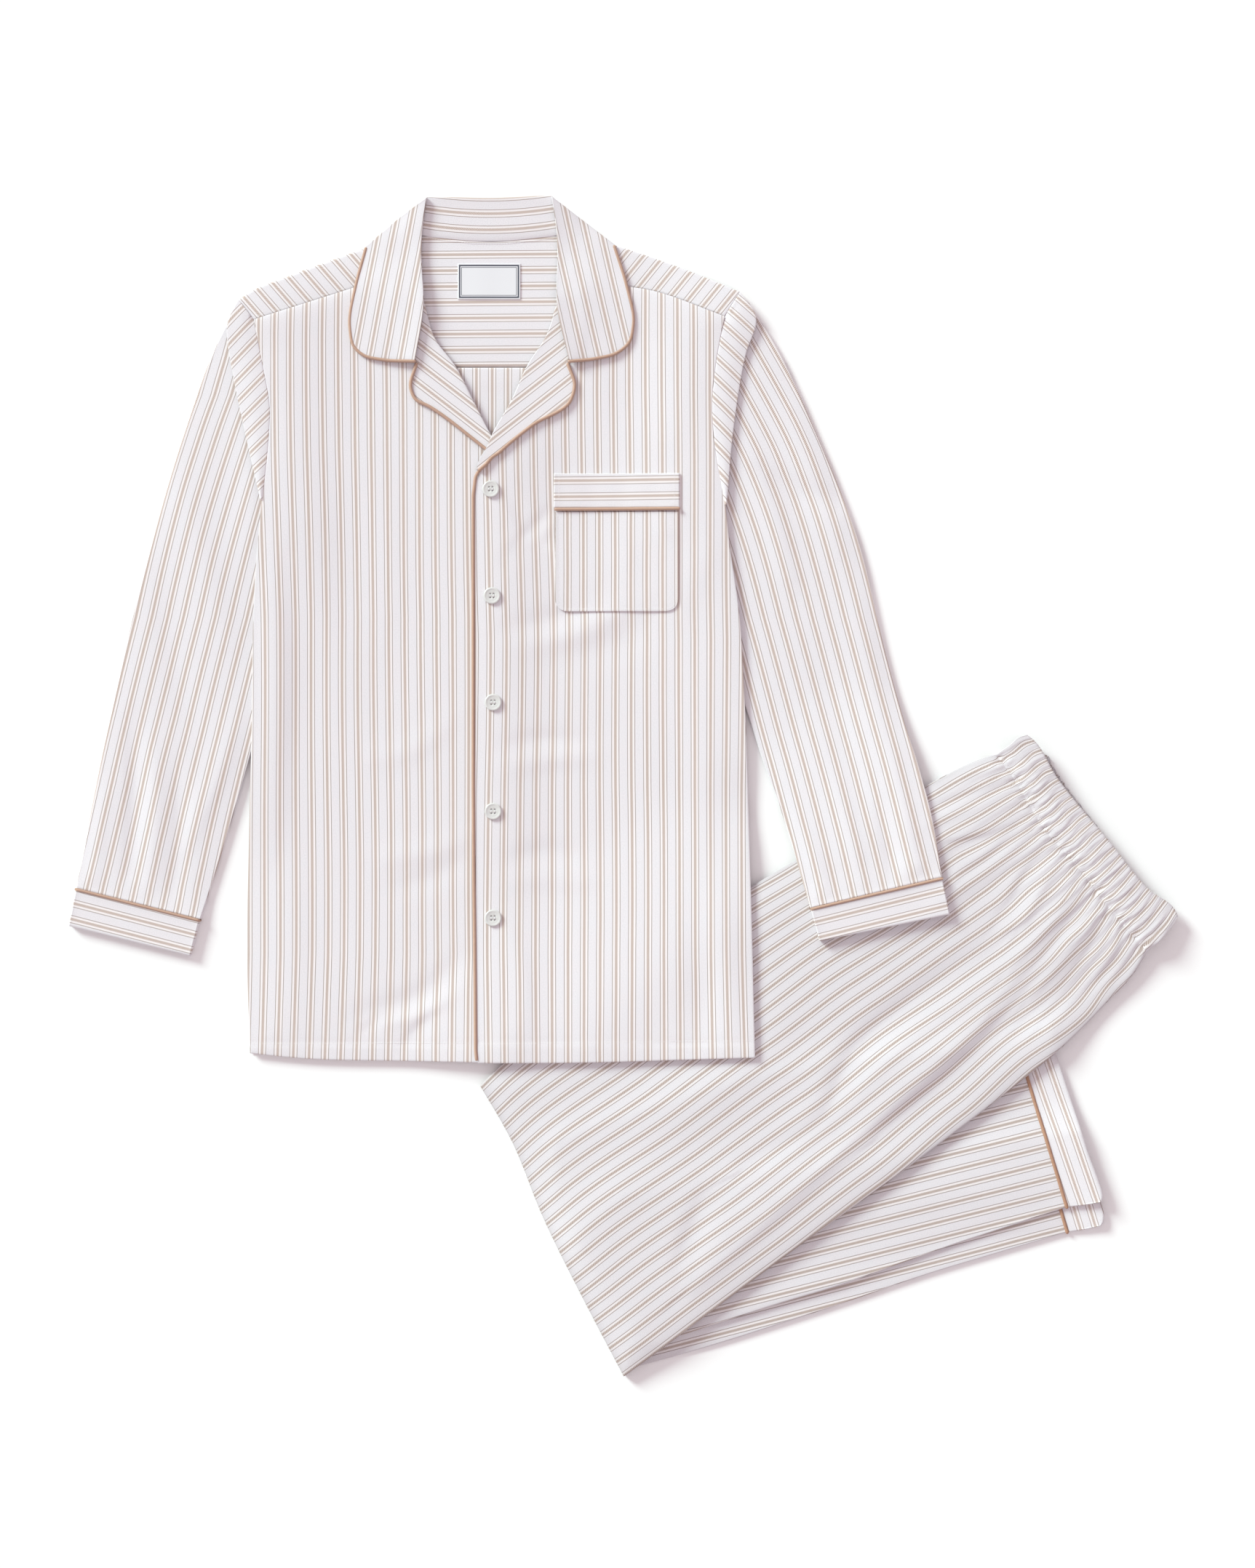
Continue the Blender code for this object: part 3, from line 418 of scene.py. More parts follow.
class Dye:
    """A value or colour on its way through a material; sums on it add the nodes for them."""

    def __init__(self, tree, socket):
        self.tree, self.socket = tree, socket

    def node(self, kind, settings=None, sockets=None, out=0):
        """A new node: its type, its settings, what goes into its sockets, and which one is used."""
        made = self.tree.nodes.new("ShaderNode" + kind)
        for key, value in (settings or {}).items():
            if key == "stops":
                for number, (place, colour) in enumerate(value):
                    stops = made.color_ramp.elements
                    stop = stops[number] if number < len(stops) else stops.new(place)
                    stop.position, stop.color = place, colour
            else:
                setattr(made, key, value)
        for key, value in (sockets or {}).items():
            if isinstance(value, Dye):
                self.tree.links.new(value.socket, made.inputs[key])
            else:
                made.inputs[key].default_value = value
        return Dye(self.tree, made.outputs[out])

    def sums(self, operation, *values):
        """A Math node on these values."""
        return self.node("Math", {"operation": operation}, dict(enumerate(values)))

    def __add__(self, other): return self.sums("ADD", self, other)
    def __radd__(self, other): return self.sums("ADD", other, self)
    def __sub__(self, other): return self.sums("SUBTRACT", self, other)
    def __rsub__(self, other): return self.sums("SUBTRACT", other, self)
    def __mul__(self, other): return self.sums("MULTIPLY", self, other)
    def __rmul__(self, other): return self.sums("MULTIPLY", other, self)
    def __truediv__(self, other): return self.sums("DIVIDE", self, other)
    def __mod__(self, other): return self.sums("FLOORED_MODULO", self, other)
    def __abs__(self): return self.sums("ABSOLUTE", self)

    def sine(self):
        """A wave from -1 to 1."""
        return self.sums("SINE", self)

    def least(self, other):
        """The smaller one of the two."""
        return self.sums("MINIMUM", self, other)

    def clamped(self):
        """Kept between 0 and 1."""
        return self.node("Clamp", None, {"Value": self})

    def mixed(self, a, b):
        """Colour a where this is 0 and colour b where it is 1."""
        return self.node("Mix", {"data_type": "RGBA"}, {0: self, 6: a, 7: b}, 2)

    def on_cloth(self):
        """A spot's place on its cloth, and how many millimetres it is across and along it."""
        place = self.node("UVMap", {"uv_map": "cut"})
        split = self.node("SeparateXYZ", None, {0: place})
        return place, split * 1000, Dye(self.tree, split.socket.node.outputs[1]) * 1000

    def noise(self, scale, detail, distortion=0.0):
        """Cloudy values from 0 to 1 over this place."""
        return self.node("TexNoise", None, {"Vector": self, "Scale": scale, "Detail": detail,
                                            "Distortion": distortion})

    def feeds(self, shader, name):
        """This goes into the shader's socket of that name."""
        self.tree.links.new(self.socket, shader.inputs[name])

    def raises(self, shader, strength, depth):
        """The surface stands up where this is high."""
        self.node("Bump", None, {"Strength": strength, "Distance": depth,
                                 "Height": self}).feeds(shader, "Normal")


def finish_of(name, roughness, sheen=0.0, gloss=0.3):
    """A new material, its shader, and a start for the nodes that feed it."""
    material = bpy.data.materials.new(name)
    material.use_nodes = True
    shader = material.node_tree.nodes["Principled BSDF"]
    shader.inputs["Roughness"].default_value = roughness
    shader.inputs["Sheen Weight"].default_value = sheen
    shader.inputs["Sheen Roughness"].default_value = 0.5
    shader.inputs["Specular IOR Level"].default_value = gloss
    return material, shader, Dye(material.node_tree, None)


REPEAT = 14.1                       # of the ticking stripe
WIDE_BAND, SIDE_LINE = 3.25, 3.25   # middle of its wide band, and how far off the thin lines are
WIDE, HAIRLINE, CREAM = 2.2, 0.6, 5.9       # widths of the wide band, the lines, and the ground
COTTON_TONES = (        # white, cool white, grey specks, cream beside the band, and the painted shade along edges
    (247, 240, 243), (243, 241, 245), (229, 226, 230), (247, 241, 241), (150, 136, 136))
YARN_TONES = ((236, 223, 217), (168, 144, 132), (168, 150, 143))    # light tan, brown, thin line
TWILL, ROPE, RIB = 4.3, 5.6, 9.0            # the weave's slants, in radians a millimetre
SLUBS, CLOUDS, SPECKS, FUZZ = 420.0, 60.0, 1300.0, 1500.0       # how many a metre
SPECKLED, RIBBED, EDGE_SHADE = 2.8, 0.16, 0.38                     # how strongly these show
WEAVE_DEPTH = 0.0002                        # of the relief, in metres


def dimmed(colour, share):
    """The colour with this share of its light."""
    return tuple(c * share for c in colour[:3]) + (1.0,)


def woven_band(off, middle, width, soft):
    """1 on a band of this width, and 0 beside it, with soft edges."""
    return ((width / 2 - abs(off - middle)) / soft + 0.5).clamped()


def ticking(name, shade, ink):
    """Brushed cotton twill with a ticking stripe woven in: u runs across it and v along it.

    The whole cloth is dimmed by shade, and its stripes by ink as well.
    """
    material, shader, start = finish_of(name, 0.92, sheen=0.12, gloss=0.15)
    white, cool, grey, cream, turned = (dimmed(linear(*tone), shade) for tone in COTTON_TONES)
    tan, brown, line = (dimmed(linear(*tone), shade * ink) for tone in YARN_TONES)
    place, across, along = start.on_cloth()
    slub = place.noise(SLUBS, 2.0)              # uneven yarn, which the lines follow
    cloudy, speck, fuzz = place.noise(CLOUDS, 4.0), place.noise(SPECKS, 1.0), place.noise(FUZZ, 3.0)
    twill = ((across * 0.8 + along) * TWILL + slub * 3).sine() * 0.5 + 0.5
    rope = ((along - across * 0.6) * ROPE + slub * 4).sine() * 0.5 + 0.5
    rib = (along * RIB + across * 1.5).sine() * 0.5 + 0.5
    at = (across + (slub - 0.5) * 0.3 - WIDE_BAND + REPEAT / 2) % REPEAT - REPEAT / 2
    off = abs(at)
    wide = woven_band(off + (twill - 0.5) * 0.4, 0.0, WIDE, 0.45)
    thin = woven_band(off, SIDE_LINE, HAIRLINE, 0.2) * (0.82 + 0.18 * rope)
    ground = (cloudy * 1.6 - 0.3).clamped().mixed(white, cool)
    ground = (speck * SPECKLED - 0.95).clamped().mixed(ground, grey)
    ground = (rib * RIBBED).mixed(ground, grey)
    colour = woven_band(off, 0.0, CREAM, 0.8).mixed(ground, cream)
    colour = wide.mixed(colour, (twill * 0.75 + speck * 0.3).mixed(brown, tan))
    colour = thin.mixed(colour, line)
    # painted shade: the colour darkens towards the cloth's edges, as far as the fold attribute says
    fold = start.node("Attribute", {"attribute_name": "fold"}, None, 2)
    (fold * EDGE_SHADE).mixed(colour, turned).feeds(shader, "Base Color")
    (rib * 0.5 + fuzz * 0.9 + slub * 0.5).raises(shader, 0.3, WEAVE_DEPTH)
    (0.84 + fuzz * 0.14).feeds(shader, "Roughness")
    return material


striped = ticking("ticking_cotton", 0.96, 0.99)
leg_cloth = ticking("ticking_cotton_legs", 0.9, 0.9)


def trim_cotton(name, colour):
    """Plain cotton cut on the bias, so that its weave runs round the cord at a slant."""
    material, shader, start = finish_of(name, 0.85, sheen=0.1, gloss=0.2)
    place, across, along = start.on_cloth()
    uneven = place.noise(300.0, 3.0)
    yarn = ((across * 1.1 + along) * 4.4 + uneven * 2).sine() * 0.5 + 0.5
    cross = ((across - along * 0.9) * 8.5).sine() * 0.5 + 0.5
    weave = yarn * 0.75 + cross * 0.25
    light, dark = dimmed(colour, 1.18), dimmed(colour, 0.58)        # yarn, and between the yarns
    (weave * 0.7 + uneven * 0.35).clamped().mixed(dark, light).feeds(shader, "Base Color")
    weave.raises(shader, 0.35, WEAVE_DEPTH)
    return material


tan_trim = trim_cotton("tan_piping_cotton", linear(202, 168, 149))
hem_trim = trim_cotton("tan_piping_cotton_hems", linear(192, 150, 125))


def stripes(angle, on_band, pitch=REPEAT):
    """The place on the cloth of each spot: the way the stripe runs, and a spot on a wide band."""
    turn = math.radians(angle)
    run = np.array([math.cos(turn), math.sin(turn)])
    side = np.array([math.sin(turn), -math.cos(turn)])
    return lambda spots: np.stack([(spots - on_band) @ side * REPEAT / pitch + WIDE_BAND,
                                   (spots - on_band) @ run], -1)


bed = Bed()
LEG_WALL, LEG_AIR = 1.0, 0.9        # a ply, and the air between the two plies of a leg
HEM_LIFT = 2.5                      # how much the turned-up band opens at its mouth
HEM_PIPE_RADIUS = 1.6
LOWER_LEGS = {
    "b": dict(seam=((371, -315), (396, -399)),
              hidden=((371, -315), (150, -345), (0, -366)),
              knee=((0, -366), (-34, -400), (9, -520)),
              low=((396, -399.5), (333.5, -418), (266, -438.5), (198, -462), (131, -484),
                   (80, -500), (9, -520)),
              band_top=((372.5, -315), (405, -309)),
              band_low=((397.5, -399.4), (412, -396.6), (424, -393.6)),
              hem=((405, -309), (425.2, -372), (428.2, -385.5), (426.8, -391.4), (424, -393.6)),
              stripe=(14.6, (300.4, -420), 13.9), band_stripe=(107, (407.8, -396.3), 13.4),
              folds=((((10, -508), (120, -462), (250, -428)), 8, 5, 0.8),
                     (((330, -400), (388, -388)), 6, 4, 0.5)),
              rests=[], flat=(0.26, 0.40), band_flat=(0.19, 0.036)),
    "a": dict(seam=((351, -230), (395, -376)),
              hidden=((351, -230), (90, -268), (-60, -318)),
              knee=((-60, -318), (-58, -356), (18, -495)),
              low=((395, -376.5), (333.5, -397), (300, -408), (249, -426), (190, -447),
                   (148, -459.5), (80, -481), (40, -493), (18, -495)),
              band_top=((352.5, -229.5), (379, -220)),
              band_low=((396.5, -376.4), (412, -374), (423.4, -371.6)),
              hem=((379, -220), (404.6, -299), (413, -326.6), (422.4, -352), (426, -364.5),
                   (425.6, -369.5), (423.4, -371.6)),
              stripe=(14, (255.4, -367), 14.0), band_stripe=(109, (393.1, -329.8), 13.4),
              folds=((((120, -420), (250, -374), (380, -352)), 20, 14, 0.8),
                     (((200, -432), (300, -402), (385, -372)), 6, 9, -0.5),
                     (((250, -330), (330, -318)), 10, 14, -0.6)),
              rests=["leg_lower_b"], flat=(0.40, 0.47), band_flat=(0.32, 0.036)),
}


def flat_tube(name, spots, base, lift, cut, cloth):
    """A stretch of a leg, laid down flat."""
    top = base + 2 * LEG_WALL + LEG_AIR + lift
    piece = tube(name, spots, base, top, LEG_WALL, cut, cloth)
    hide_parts(name)
    bed.press(spots, top)
    return piece


for letter, lines in LOWER_LEGS.items():
    seam = through(*lines["seam"])
    leg = patch(through(*lines["hidden"]), through(*lines["low"]), seam, through(*lines["knee"]),
                pitch=4)
    band = patch(through(*lines["band_top"]), through(*lines["band_low"]),
                 seam + (1.5, 0), through(*lines["hem"]), pitch=3)
    under = bed.rest(leg, band)
    lift, source = creases(leg, lines["folds"])
    leg_piece = flat_tube("leg_lower_" + letter, leg, under(leg), lift,
                          stripes(*lines["stripe"])(source), leg_cloth)
    _, source = creases(band, lines["folds"])
    band_piece = flat_tube("hem_band_" + letter, band, under(band),
                           HEM_LIFT * np.linspace(0, 1, len(band))[:, None],
                           stripes(*lines["band_stripe"])(source), striped)
    seam = spaced(seam, np.linspace(0, 1, 60))
    trim = round_trim("hem_piping_" + letter, np.column_stack([seam, bed.read(seam) - 0.5]),
                      HEM_PIPE_RADIUS, hem_trim)
    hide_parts("hem_piping_" + letter)


# ------------------------------------------------------------------------- hidden leg plies
# The rest of both legs, between the lower legs and the cloth on top. Only the folded edges
# of its three plies show, from low down, between the other pieces.

LEG_TOP_EDGE = ((-128, -268), (-110, -250), (114, -90), (153, -67), (270, 0), (309, 20), (332, 29))
LEG_UNDER_EDGE = ((0, -527), (168, -401), (257, -337), (358, -260), (397, -227), (413, -212),
                  (435, -189), (452, -171), (467, -147))
KNEE = ((-128, -268), (-101, -315), (-72, -385), (-37, -456), (0, -527))
PLIES, PLY = 3, 1.5
CORE_INSET = 5.0        # how far the hidden plies stay inside the cloth on top


def grid_faces(numbers):
    """Faces between the rows of a grid of corner numbers."""
    return np.stack([numbers[:-1, :-1], numbers[:-1, 1:], numbers[1:, 1:], numbers[1:, :-1]],
                    -1).reshape(-1, 4)


def wall(name, spots, under, top, cut, cloth, plies=1, roundness=ROUND, much=0.5, sewn=()):
    """A closed sheet over a grid of spots, with a round edge for each ply."""
    rows, columns = spots.shape[:2]
    # painted shade along the edges, carried on round the rims
    fold = painted_edge_shade(spots, much, sewn).ravel()
    i, j = np.indices((rows, columns))
    inner = spots[np.clip(i, 1, rows - 2), np.clip(j, 1, columns - 2)]
    inward = inner - spots
    size = np.linalg.norm(inward, axis=-1, keepdims=True)
    inward = inward / np.maximum(size, 1e-6) * (size > 1e-6)
    deep = np.minimum((top - under) / (2 * plies), roundness)[..., None]
    deep = np.minimum(deep, KEEP_OFF * size)
    flat = spots + inward * deep
    number = np.arange(rows * columns).reshape(rows, columns)
    rim = np.concatenate([number[0, :-1], number[:-1, -1], number[-1, :0:-1], number[:0:-1, 0]])
    spots, low, high = spots.reshape(-1, 2)[rim], under.ravel()[rim], top.ravel()[rim]
    inward, deep = inward.reshape(-1, 2)[rim], deep.reshape(-1, 1)[rim]
    corners = [np.dstack([flat, top]).reshape(-1, 3), np.dstack([flat, under]).reshape(-1, 3)]
    faces = [grid_faces(number), grid_faces(number + rows * columns)[:, ::-1]]
    cuts, last = [cut.reshape(-1, 2)] * 2, rim + rows * columns
    profile = edge_profile(plies)
    for step, (back, share) in enumerate(profile):
        corners.append(np.column_stack([spots + inward * deep * back, low + (high - low) * share]))
        loop = 2 * rows * columns + step * len(rim) + np.arange(len(rim))
        faces.append(loops_of_faces(last, loop))
        cuts.append(cut.reshape(-1, 2)[rim])
        last = loop
    faces.append(loops_of_faces(last, rim))
    folds = np.concatenate([fold, fold, np.tile(fold[rim], len(profile))])
    return mesh_object(name, np.vstack(corners), facing_up(np.vstack(faces), flat),
                       np.vstack(cuts), cloth, folds)


core = patch(through(*LEG_TOP_EDGE, (341, 34)), through(*LEG_UNDER_EDGE, (476, -139)),
             through(*KNEE), through((341, 34), (364, 8), (420, -55), (476, -139)), pitch=6)
middle = core.mean(axis=(0, 1))
reach = np.maximum(np.linalg.norm(core - middle, axis=-1, keepdims=True), 60)
core = middle + (core - middle) * (1 - CORE_INSET / reach)
core_under = bed.rest(core)(core)
core_top = core_under + PLIES * PLY
piece = wall("leg_core", core, core_under, core_top, stripes(34, (92.8, -304))(core), leg_cloth,
             plies=PLIES)
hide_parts("leg_core")
bed.press(core, core_top)


# ------------------------------------------------------------------------ back of the waist
# The far side of the elastic waist, drawn into small gathers. It lies behind the front of the
# waist and shows past it as a narrow ruffled edge, in shade.

WAIST = ((359, 45), (363, 42), (385, 8), (434, -52), (467, -92), (491, -111), (493.5, -116.5))
BACK_DEPTH, BACK_WALL = 28, 1.0
BACK_CLOTH = 290        # how much cloth the elastic draws in along the back
WAIST_BANDS = (0.035, 0.090, 0.141, 0.181, 0.232, 0.289, 0.326, 0.366, 0.418, 0.458, 0.509, 0.556,
               0.601, 0.642, 0.686, 0.732, 0.779, 0.825, 0.867, 0.912, 0.970)
GATHERS = (     # between the wide bands, along the waist: width, rise, and how far each runs down
    (0.014, 0.5, 22), (0.013, 0.4, 30), (0.013, 0.7, 44), (0.012, 0.6, 20), (0.015, 0.8, 52),
    (0.014, 0.6, 26), (0.011, 0.7, 38), (0.012, 0.6, 26), (0.014, 0.9, 64), (0.011, 0.6, 30),
    (0.013, 0.8, 42), (0.013, 0.7, 32), (0.013, 1.0, 70), (0.012, 0.7, 34), (0.012, 0.9, 52),
    (0.013, 0.7, 28), (0.013, 1.0, 66), (0.013, 0.8, 40), (0.012, 0.9, 56), (0.013, 0.7, 36),
    (0.015, 0.8, 44), (0.012, 0.6, 30),
)
gather_places = np.convolve([-0.01, *WAIST_BANDS, 1.01], (0.5, 0.5), "valid")
LEAN = (2.0, 0.6)      # how wide a gather's upper and lower sides are


def gathered(t, shift=0.0, squeeze=1.0):
    """Height of the gathers along the waist: each leans over a little, with one side steeper."""
    total = np.zeros(np.shape(t))
    for place, (width, rise, _) in zip(gather_places, GATHERS):
        off = (t - place - shift) / (width * squeeze)
        total += rise * np.exp(-(off / np.where(off < 0, *LEAN)) ** 2)
    return total


waist = through(*WAIST)
behind = np.linspace(0, 1, len(waist))[:, None]
out = np.interp(behind, (0, 0.05, 0.13, 0.3, 0.6, 1), (-5, -4, 3.6, 2.6, 0.2, -4))
out = out + 0.8 * np.sin(150 * behind + 2 * np.sin(23 * behind))       # ruffled
peek = waist + (beside(waist, 1.0) - waist) * out
tuck = beside(waist, -24)
band = patch(spaced(np.vstack([tuck[:1], peek[:1]]), np.linspace(0, 1, 9)),
             np.vstack([tuck[-1:], peek[-1:]]), tuck[2:-2], peek[2:-2], rows=9, columns=200)
t = np.linspace(0, 1, band.shape[1])[None]
ruffle = 1.6 * gathered(t * 1.6 % 1.0, 0.011, 0.8) + 0.25 * np.sin(t * 173)
band_under = bed.rest(band)(band) + ruffle * np.linspace(0.6, 1, band.shape[0])[:, None]
band_cut = np.broadcast_arrays(t * BACK_CLOTH, np.linspace(0, BACK_DEPTH, band.shape[0])[:, None])
piece = wall("waistband_back", band, band_under, band_under + BACK_WALL, np.dstack(band_cut),
             ticking("ticking_cotton_shaded", 0.7, 0.9))
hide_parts("waistband_back")
bed.press(band, band_under + BACK_WALL)


# ----------------------------------------------------------------------- upper leg and waist
# The leg on top, which wraps round the knee fold, and the casing sewn over the elastic. The
# elastic draws 29 cm of cloth in to 22, so the casing stands in gathers that run on down the
# leg as long soft folds, and the stripes crowd together towards the waist.

WALL = 1.2              # one ply of cloth
CASING = ((332, 29), (349, 5), (375, -38), (404, -71), (421, -93), (434, -110), (448, -127),
          (467, -147))
LEG_FOLDS = (
    (((392, -50), (372, -64), (358, -80), (347, -102), (334, -118)), 16, 5, -1.4),
    (((399, -62), (378, -80), (366, -100), (352, -126)), 6, 19, 1.7),
    (((419, -92), (410, -106), (394, -127), (368, -160), (330, -200)), 16, 5, -1.4),
    (((411, -80), (392, -106), (374, -128), (340, -166)), 6, 19, 1.7),
    (((426, -102), (414, -124), (396, -148), (360, -190)), 5, 16, 1.4),
    (((434, -113), (428, -124), (413, -149), (380, -190), (352, -214)), 13, 4, -1.1),
    (((439, -120), (431, -142), (410, -170), (372, -212)), 13, 4, -1.1),
    (((448, -130), (441, -148), (430, -164), (396, -204)), 13, 4, -1.1),
    (((444, -124), (436, -146), (418, -172)), 4, 13, 1.2),
    (((459, -141), (450, -156), (438, -176)), 13, 4, -1.1),
    (((330, -140), (262, -190), (206, -240), (178, -300), (112, -338)), 32, 12, -2.8),
    (((318, -176), (246, -230), (192, -288), (120, -348)), 12, 20.5, 1.8),
    (((392, -146), (340, -206), (282, -266), (230, -309)), 25.5, 8, -2.2),
    (((410, -130), (362, -180), (298, -230), (214, -304), (60, -444)), 10, 32, 2.8),
    (((336, -30), (290, -52), (232, -92)), 8, 17.5, 1.6),
    (((342, -37), (324, -46), (288, -52), (262, -62)), 9.5, 3, -1.0),
    (((338, 16), (312, 14), (294, 4)), 6, 13.5, 1.4),
    (((343, -4), (306, -20), (255, -40)), 7, 14.5, 1.4),
    (((340, 2), (312, -8), (276, -20)), 13, 5, -1.3),
    (((356, -34), (330, -62), (300, -84)), 18, 6, -1.6),
    (((366, -30), (350, -50), (318, -78), (270, -108)), 7, 18, 1.6),
    (((75, -360), (60, -400), (50, -432)), 17, 10, -1.6),
    (((20, -300), (80, -270), (150, -200)), 28, 22, 1.4),
    (((-60, -400), (-10, -360), (60, -320)), 28, 24, 1.0),
    (((0, -250), (60, -190), (120, -140)), 20, 26, -0.9),
)
WAIST_STANDS = 4.0      # how much the elastic makes the waist stand up
WRINKLE, WRINKLE_PULL = 0.33, 1.1       # height of the small wrinkles, and their sideways pull
LEG_ROWS, LEG_COLUMNS = 165, 180


def shares_along(line):
    """How far along a row of spots each one lies, from 0 to 1."""
    along = way_along(line)
    return along / along[-1]


def crumpled(t, away):
    """Small sharp wrinkles on both sides of the seam under the casing."""
    return np.exp(-(away / 7) ** 2) * (np.sin(188 * t + 2 * np.sin(37 * t) + away / 3)
                                       + 0.7 * np.sin(121 * t + 3 * np.sin(17 * t) - away / 4))


leg = patch(through(*LEG_TOP_EDGE), through(*LEG_UNDER_EDGE), through(*KNEE), through(*CASING),
            rows=LEG_ROWS, columns=LEG_COLUMNS)
t = shares_along(leg[-1])[None]
below_casing = np.linalg.norm(leg - leg[-1:], axis=-1)
run_down = np.zeros(leg.shape[:2])
for place, (width, rise, reach) in zip(gather_places, GATHERS):
    spread = width * (1 + below_casing / 90)
    fade = 1.4 * np.exp(-(below_casing / (1.35 * reach)) ** 1.3)
    fade = fade * (1 - 0.35 * np.exp(-below_casing / 4))        # held down along the seam
    off = (t - place) / spread
    run_down += rise * fade * np.exp(-(off / np.where(off < 0, *LEAN)) ** 2)
between = (t * 1.9 + 0.02 * np.sin(9 * t) - below_casing / 2600) % 1.0      # finer ones
fade = np.exp(-(below_casing / (26 + 16 * np.sin(11 * t + 1))) ** 1.4)
run_down += 0.55 * gathered(between, 0, 1.2) * fade + WRINKLE * crumpled(t, below_casing)
leg_under = bed.rest(leg, fall=0.2, soft=18)(leg)
edge = from_edge(leg)
lift, source = creases(leg, LEG_FOLDS, 0.9)
leg_under = leg_under + 2.2 * (1 - np.exp(-edge / 16)) + lift * (1 - np.exp(-edge / 7)) + run_down
leg_under += WAIST_STANDS * np.exp(-below_casing / 36)
leg_under = np.maximum(leg_under, bed.read(leg) + 0.15)
leg_top = leg_under + WALL
leg_under[0] = 0.0      # turned round the knee fold, down to the floor

BANDS = (               # how far below the casing, and where wide bands lie across the leg there
    (0, range(1, 22), WAIST_BANDS),
    (40, range(1, 22), (0.037, 0.091, 0.138, 0.186, 0.240, 0.283, 0.325, 0.371, 0.416, 0.461, 0.511,
                        0.564, 0.622, 0.660, 0.700, 0.737, 0.792, 0.833, 0.875, 0.917, 0.960)),
    (80, (2, 6, 10, 14, 17, 21), (0.085, 0.271, 0.472, 0.667, 0.795, 0.982)),
    (150, (2, 6, 10, 14, 17, 21), (0.108, 0.298, 0.469, 0.663, 0.781, 0.955)),
    (220, (2, 6, 10, 14, 17, 21), (0.108, 0.284, 0.472, 0.656, 0.795, 0.973)),
    (320, (2, 6, 10, 14, 17, 21), (0.108, 0.303, 0.490, 0.676, 0.808, 0.992)),
    (420, (2, 6, 10, 14, 17, 21), (0.124, 0.311, 0.499, 0.682, 0.818, 1.000)),
    (540, (2, 6, 10, 14, 17, 21), (0.100, 0.284, 0.474, 0.665, 0.807, 0.997)),
)


def cut_between(numbers, places, share):
    """The place across the cloth at each share of the width, from band to band."""
    numbers, places = np.array(numbers, float), np.array(places)
    first, last = (np.diff(numbers)[k] / np.diff(places)[k] for k in (0, -1))
    numbers = [numbers[0] - 0.2 * first, *numbers, numbers[-1] + 0.2 * last]
    places = [places[0] - 0.2, *places, places[-1] + 0.2]
    return WIDE_BAND + REPEAT * (np.interp(share, places, numbers) - 8)


side = np.gradient(leg, axis=1)
side /= np.linalg.norm(side, axis=-1, keepdims=True)
strides = np.linalg.norm(np.diff(leg, axis=1), axis=-1)
share = np.insert(np.cumsum(strides, 1), 0, 0, axis=1) / strides.sum(1)[:, None]
across = cut_between(*BANDS[0][1:], share)
for (near, *_), (far, numbers, places) in zip(BANDS, BANDS[1:]):
    past = np.clip((below_casing - near) / (far - near), 0, 1)
    across = across + (cut_between(numbers, places, share) - across) * past * past * (3 - 2 * past)
across += ((source - leg) * side).sum(-1) * np.clip((below_casing - 20) / 90, 0, 0.6)
across += WRINKLE_PULL * crumpled(t * 0.5, below_casing * 0.8)
along = way_along(leg[:, LEG_COLUMNS // 2])
leg_cut = np.dstack([across, np.broadcast_to(along[:, None], across.shape)])
upper = wall("leg_upper", leg, leg_under, leg_top, leg_cut, leg_cloth, much=1.0, sewn=[leg[-1]])
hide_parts("leg_upper")
bed.press(leg, leg_top)

CASING_DEPTH = 34
fold_line = beside(through(*CASING), -1.2)
band = patch(np.vstack([fold_line[:1], through((341, 34.5), (352, 43), (359, 45))]),
             np.vstack([fold_line[-1:], through((476, -139), (488, -125), (493.5, -116.5))]),
             fold_line, through(*WAIST), rows=16, columns=300)
t, up = shares_along(band[0])[None], shares_along(band[:, 0])[:, None]
swell = 0.62 + 0.5 * np.sin(math.pi * np.clip(up * 1.15, 0, 1)) - 0.2 * up
waves = 1.15 * gathered(t + 0.004 * np.sin(6 * up + 9 * t)) * swell
waves += 0.35 * gathered((t * 2.3 + 0.13 + 0.01 * np.sin(5 * up)) % 1.0, 0, 1.3)
sewn_on = np.interp(t, shares_along(leg[-1]), np.minimum(leg_top[-1], leg_top[-2])) + 0.05
band_under = bed.rest(band)(band) + waves + WAIST_STANDS * np.clip(up * 2, 0, 1)
band_under = sewn_on + (band_under - sewn_on) * np.clip(up * 3.2, 0, 1) ** 0.8
band_under = band_under + WRINKLE * crumpled(t, up * CASING_DEPTH) * np.clip(up * 8, 0, 1)
band_under = np.maximum(band_under, bed.read(band) * (up > 0.14))
across = cut_between(*BANDS[0][1:], t)
across = across + (0.6 * np.sin(31 * t + 4) + 0.4 * np.sin(77 * t + 9 * up)) * up
across += WRINKLE_PULL * crumpled(t * 0.5, up * 27)
band_cut = np.dstack([across, np.broadcast_to(along[-1] + up * CASING_DEPTH, across.shape)])
band_top = band_under + WALL * (0.2 + 1.3 * np.clip(up * 6, 0, 1))
casing = wall("waistband", band, band_under, band_top, band_cut, leg_cloth, sewn=[band[0]])
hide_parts("waistband")
bed.press(band, band_top)

thread, shader, start = finish_of("white_thread", 0.6, gloss=0.4)
_, across, along = start.on_cloth()
twist = (across * 9 + along * 6).sine() * 0.5 + 0.5
twist.mixed(linear(236, 232, 232), linear(250, 249, 250)).feeds(shader, "Base Color")
# A stitch: how far along it each ring of its thread lies, how high, and how thick it is there
STITCH = ((-0.5, -0.5, 0.35), (-0.36, 0.05, 0.9), (0, 0.3, 1.0), (0.36, 0.05, 0.9),
          (0.5, -0.5, 0.35))
STITCH_SIDES = 6
STITCH_SHARE = 0.78     # of the pitch; the rest is the gap where the thread dips in
CLOSE = 2.4             # pitch of the closer rows


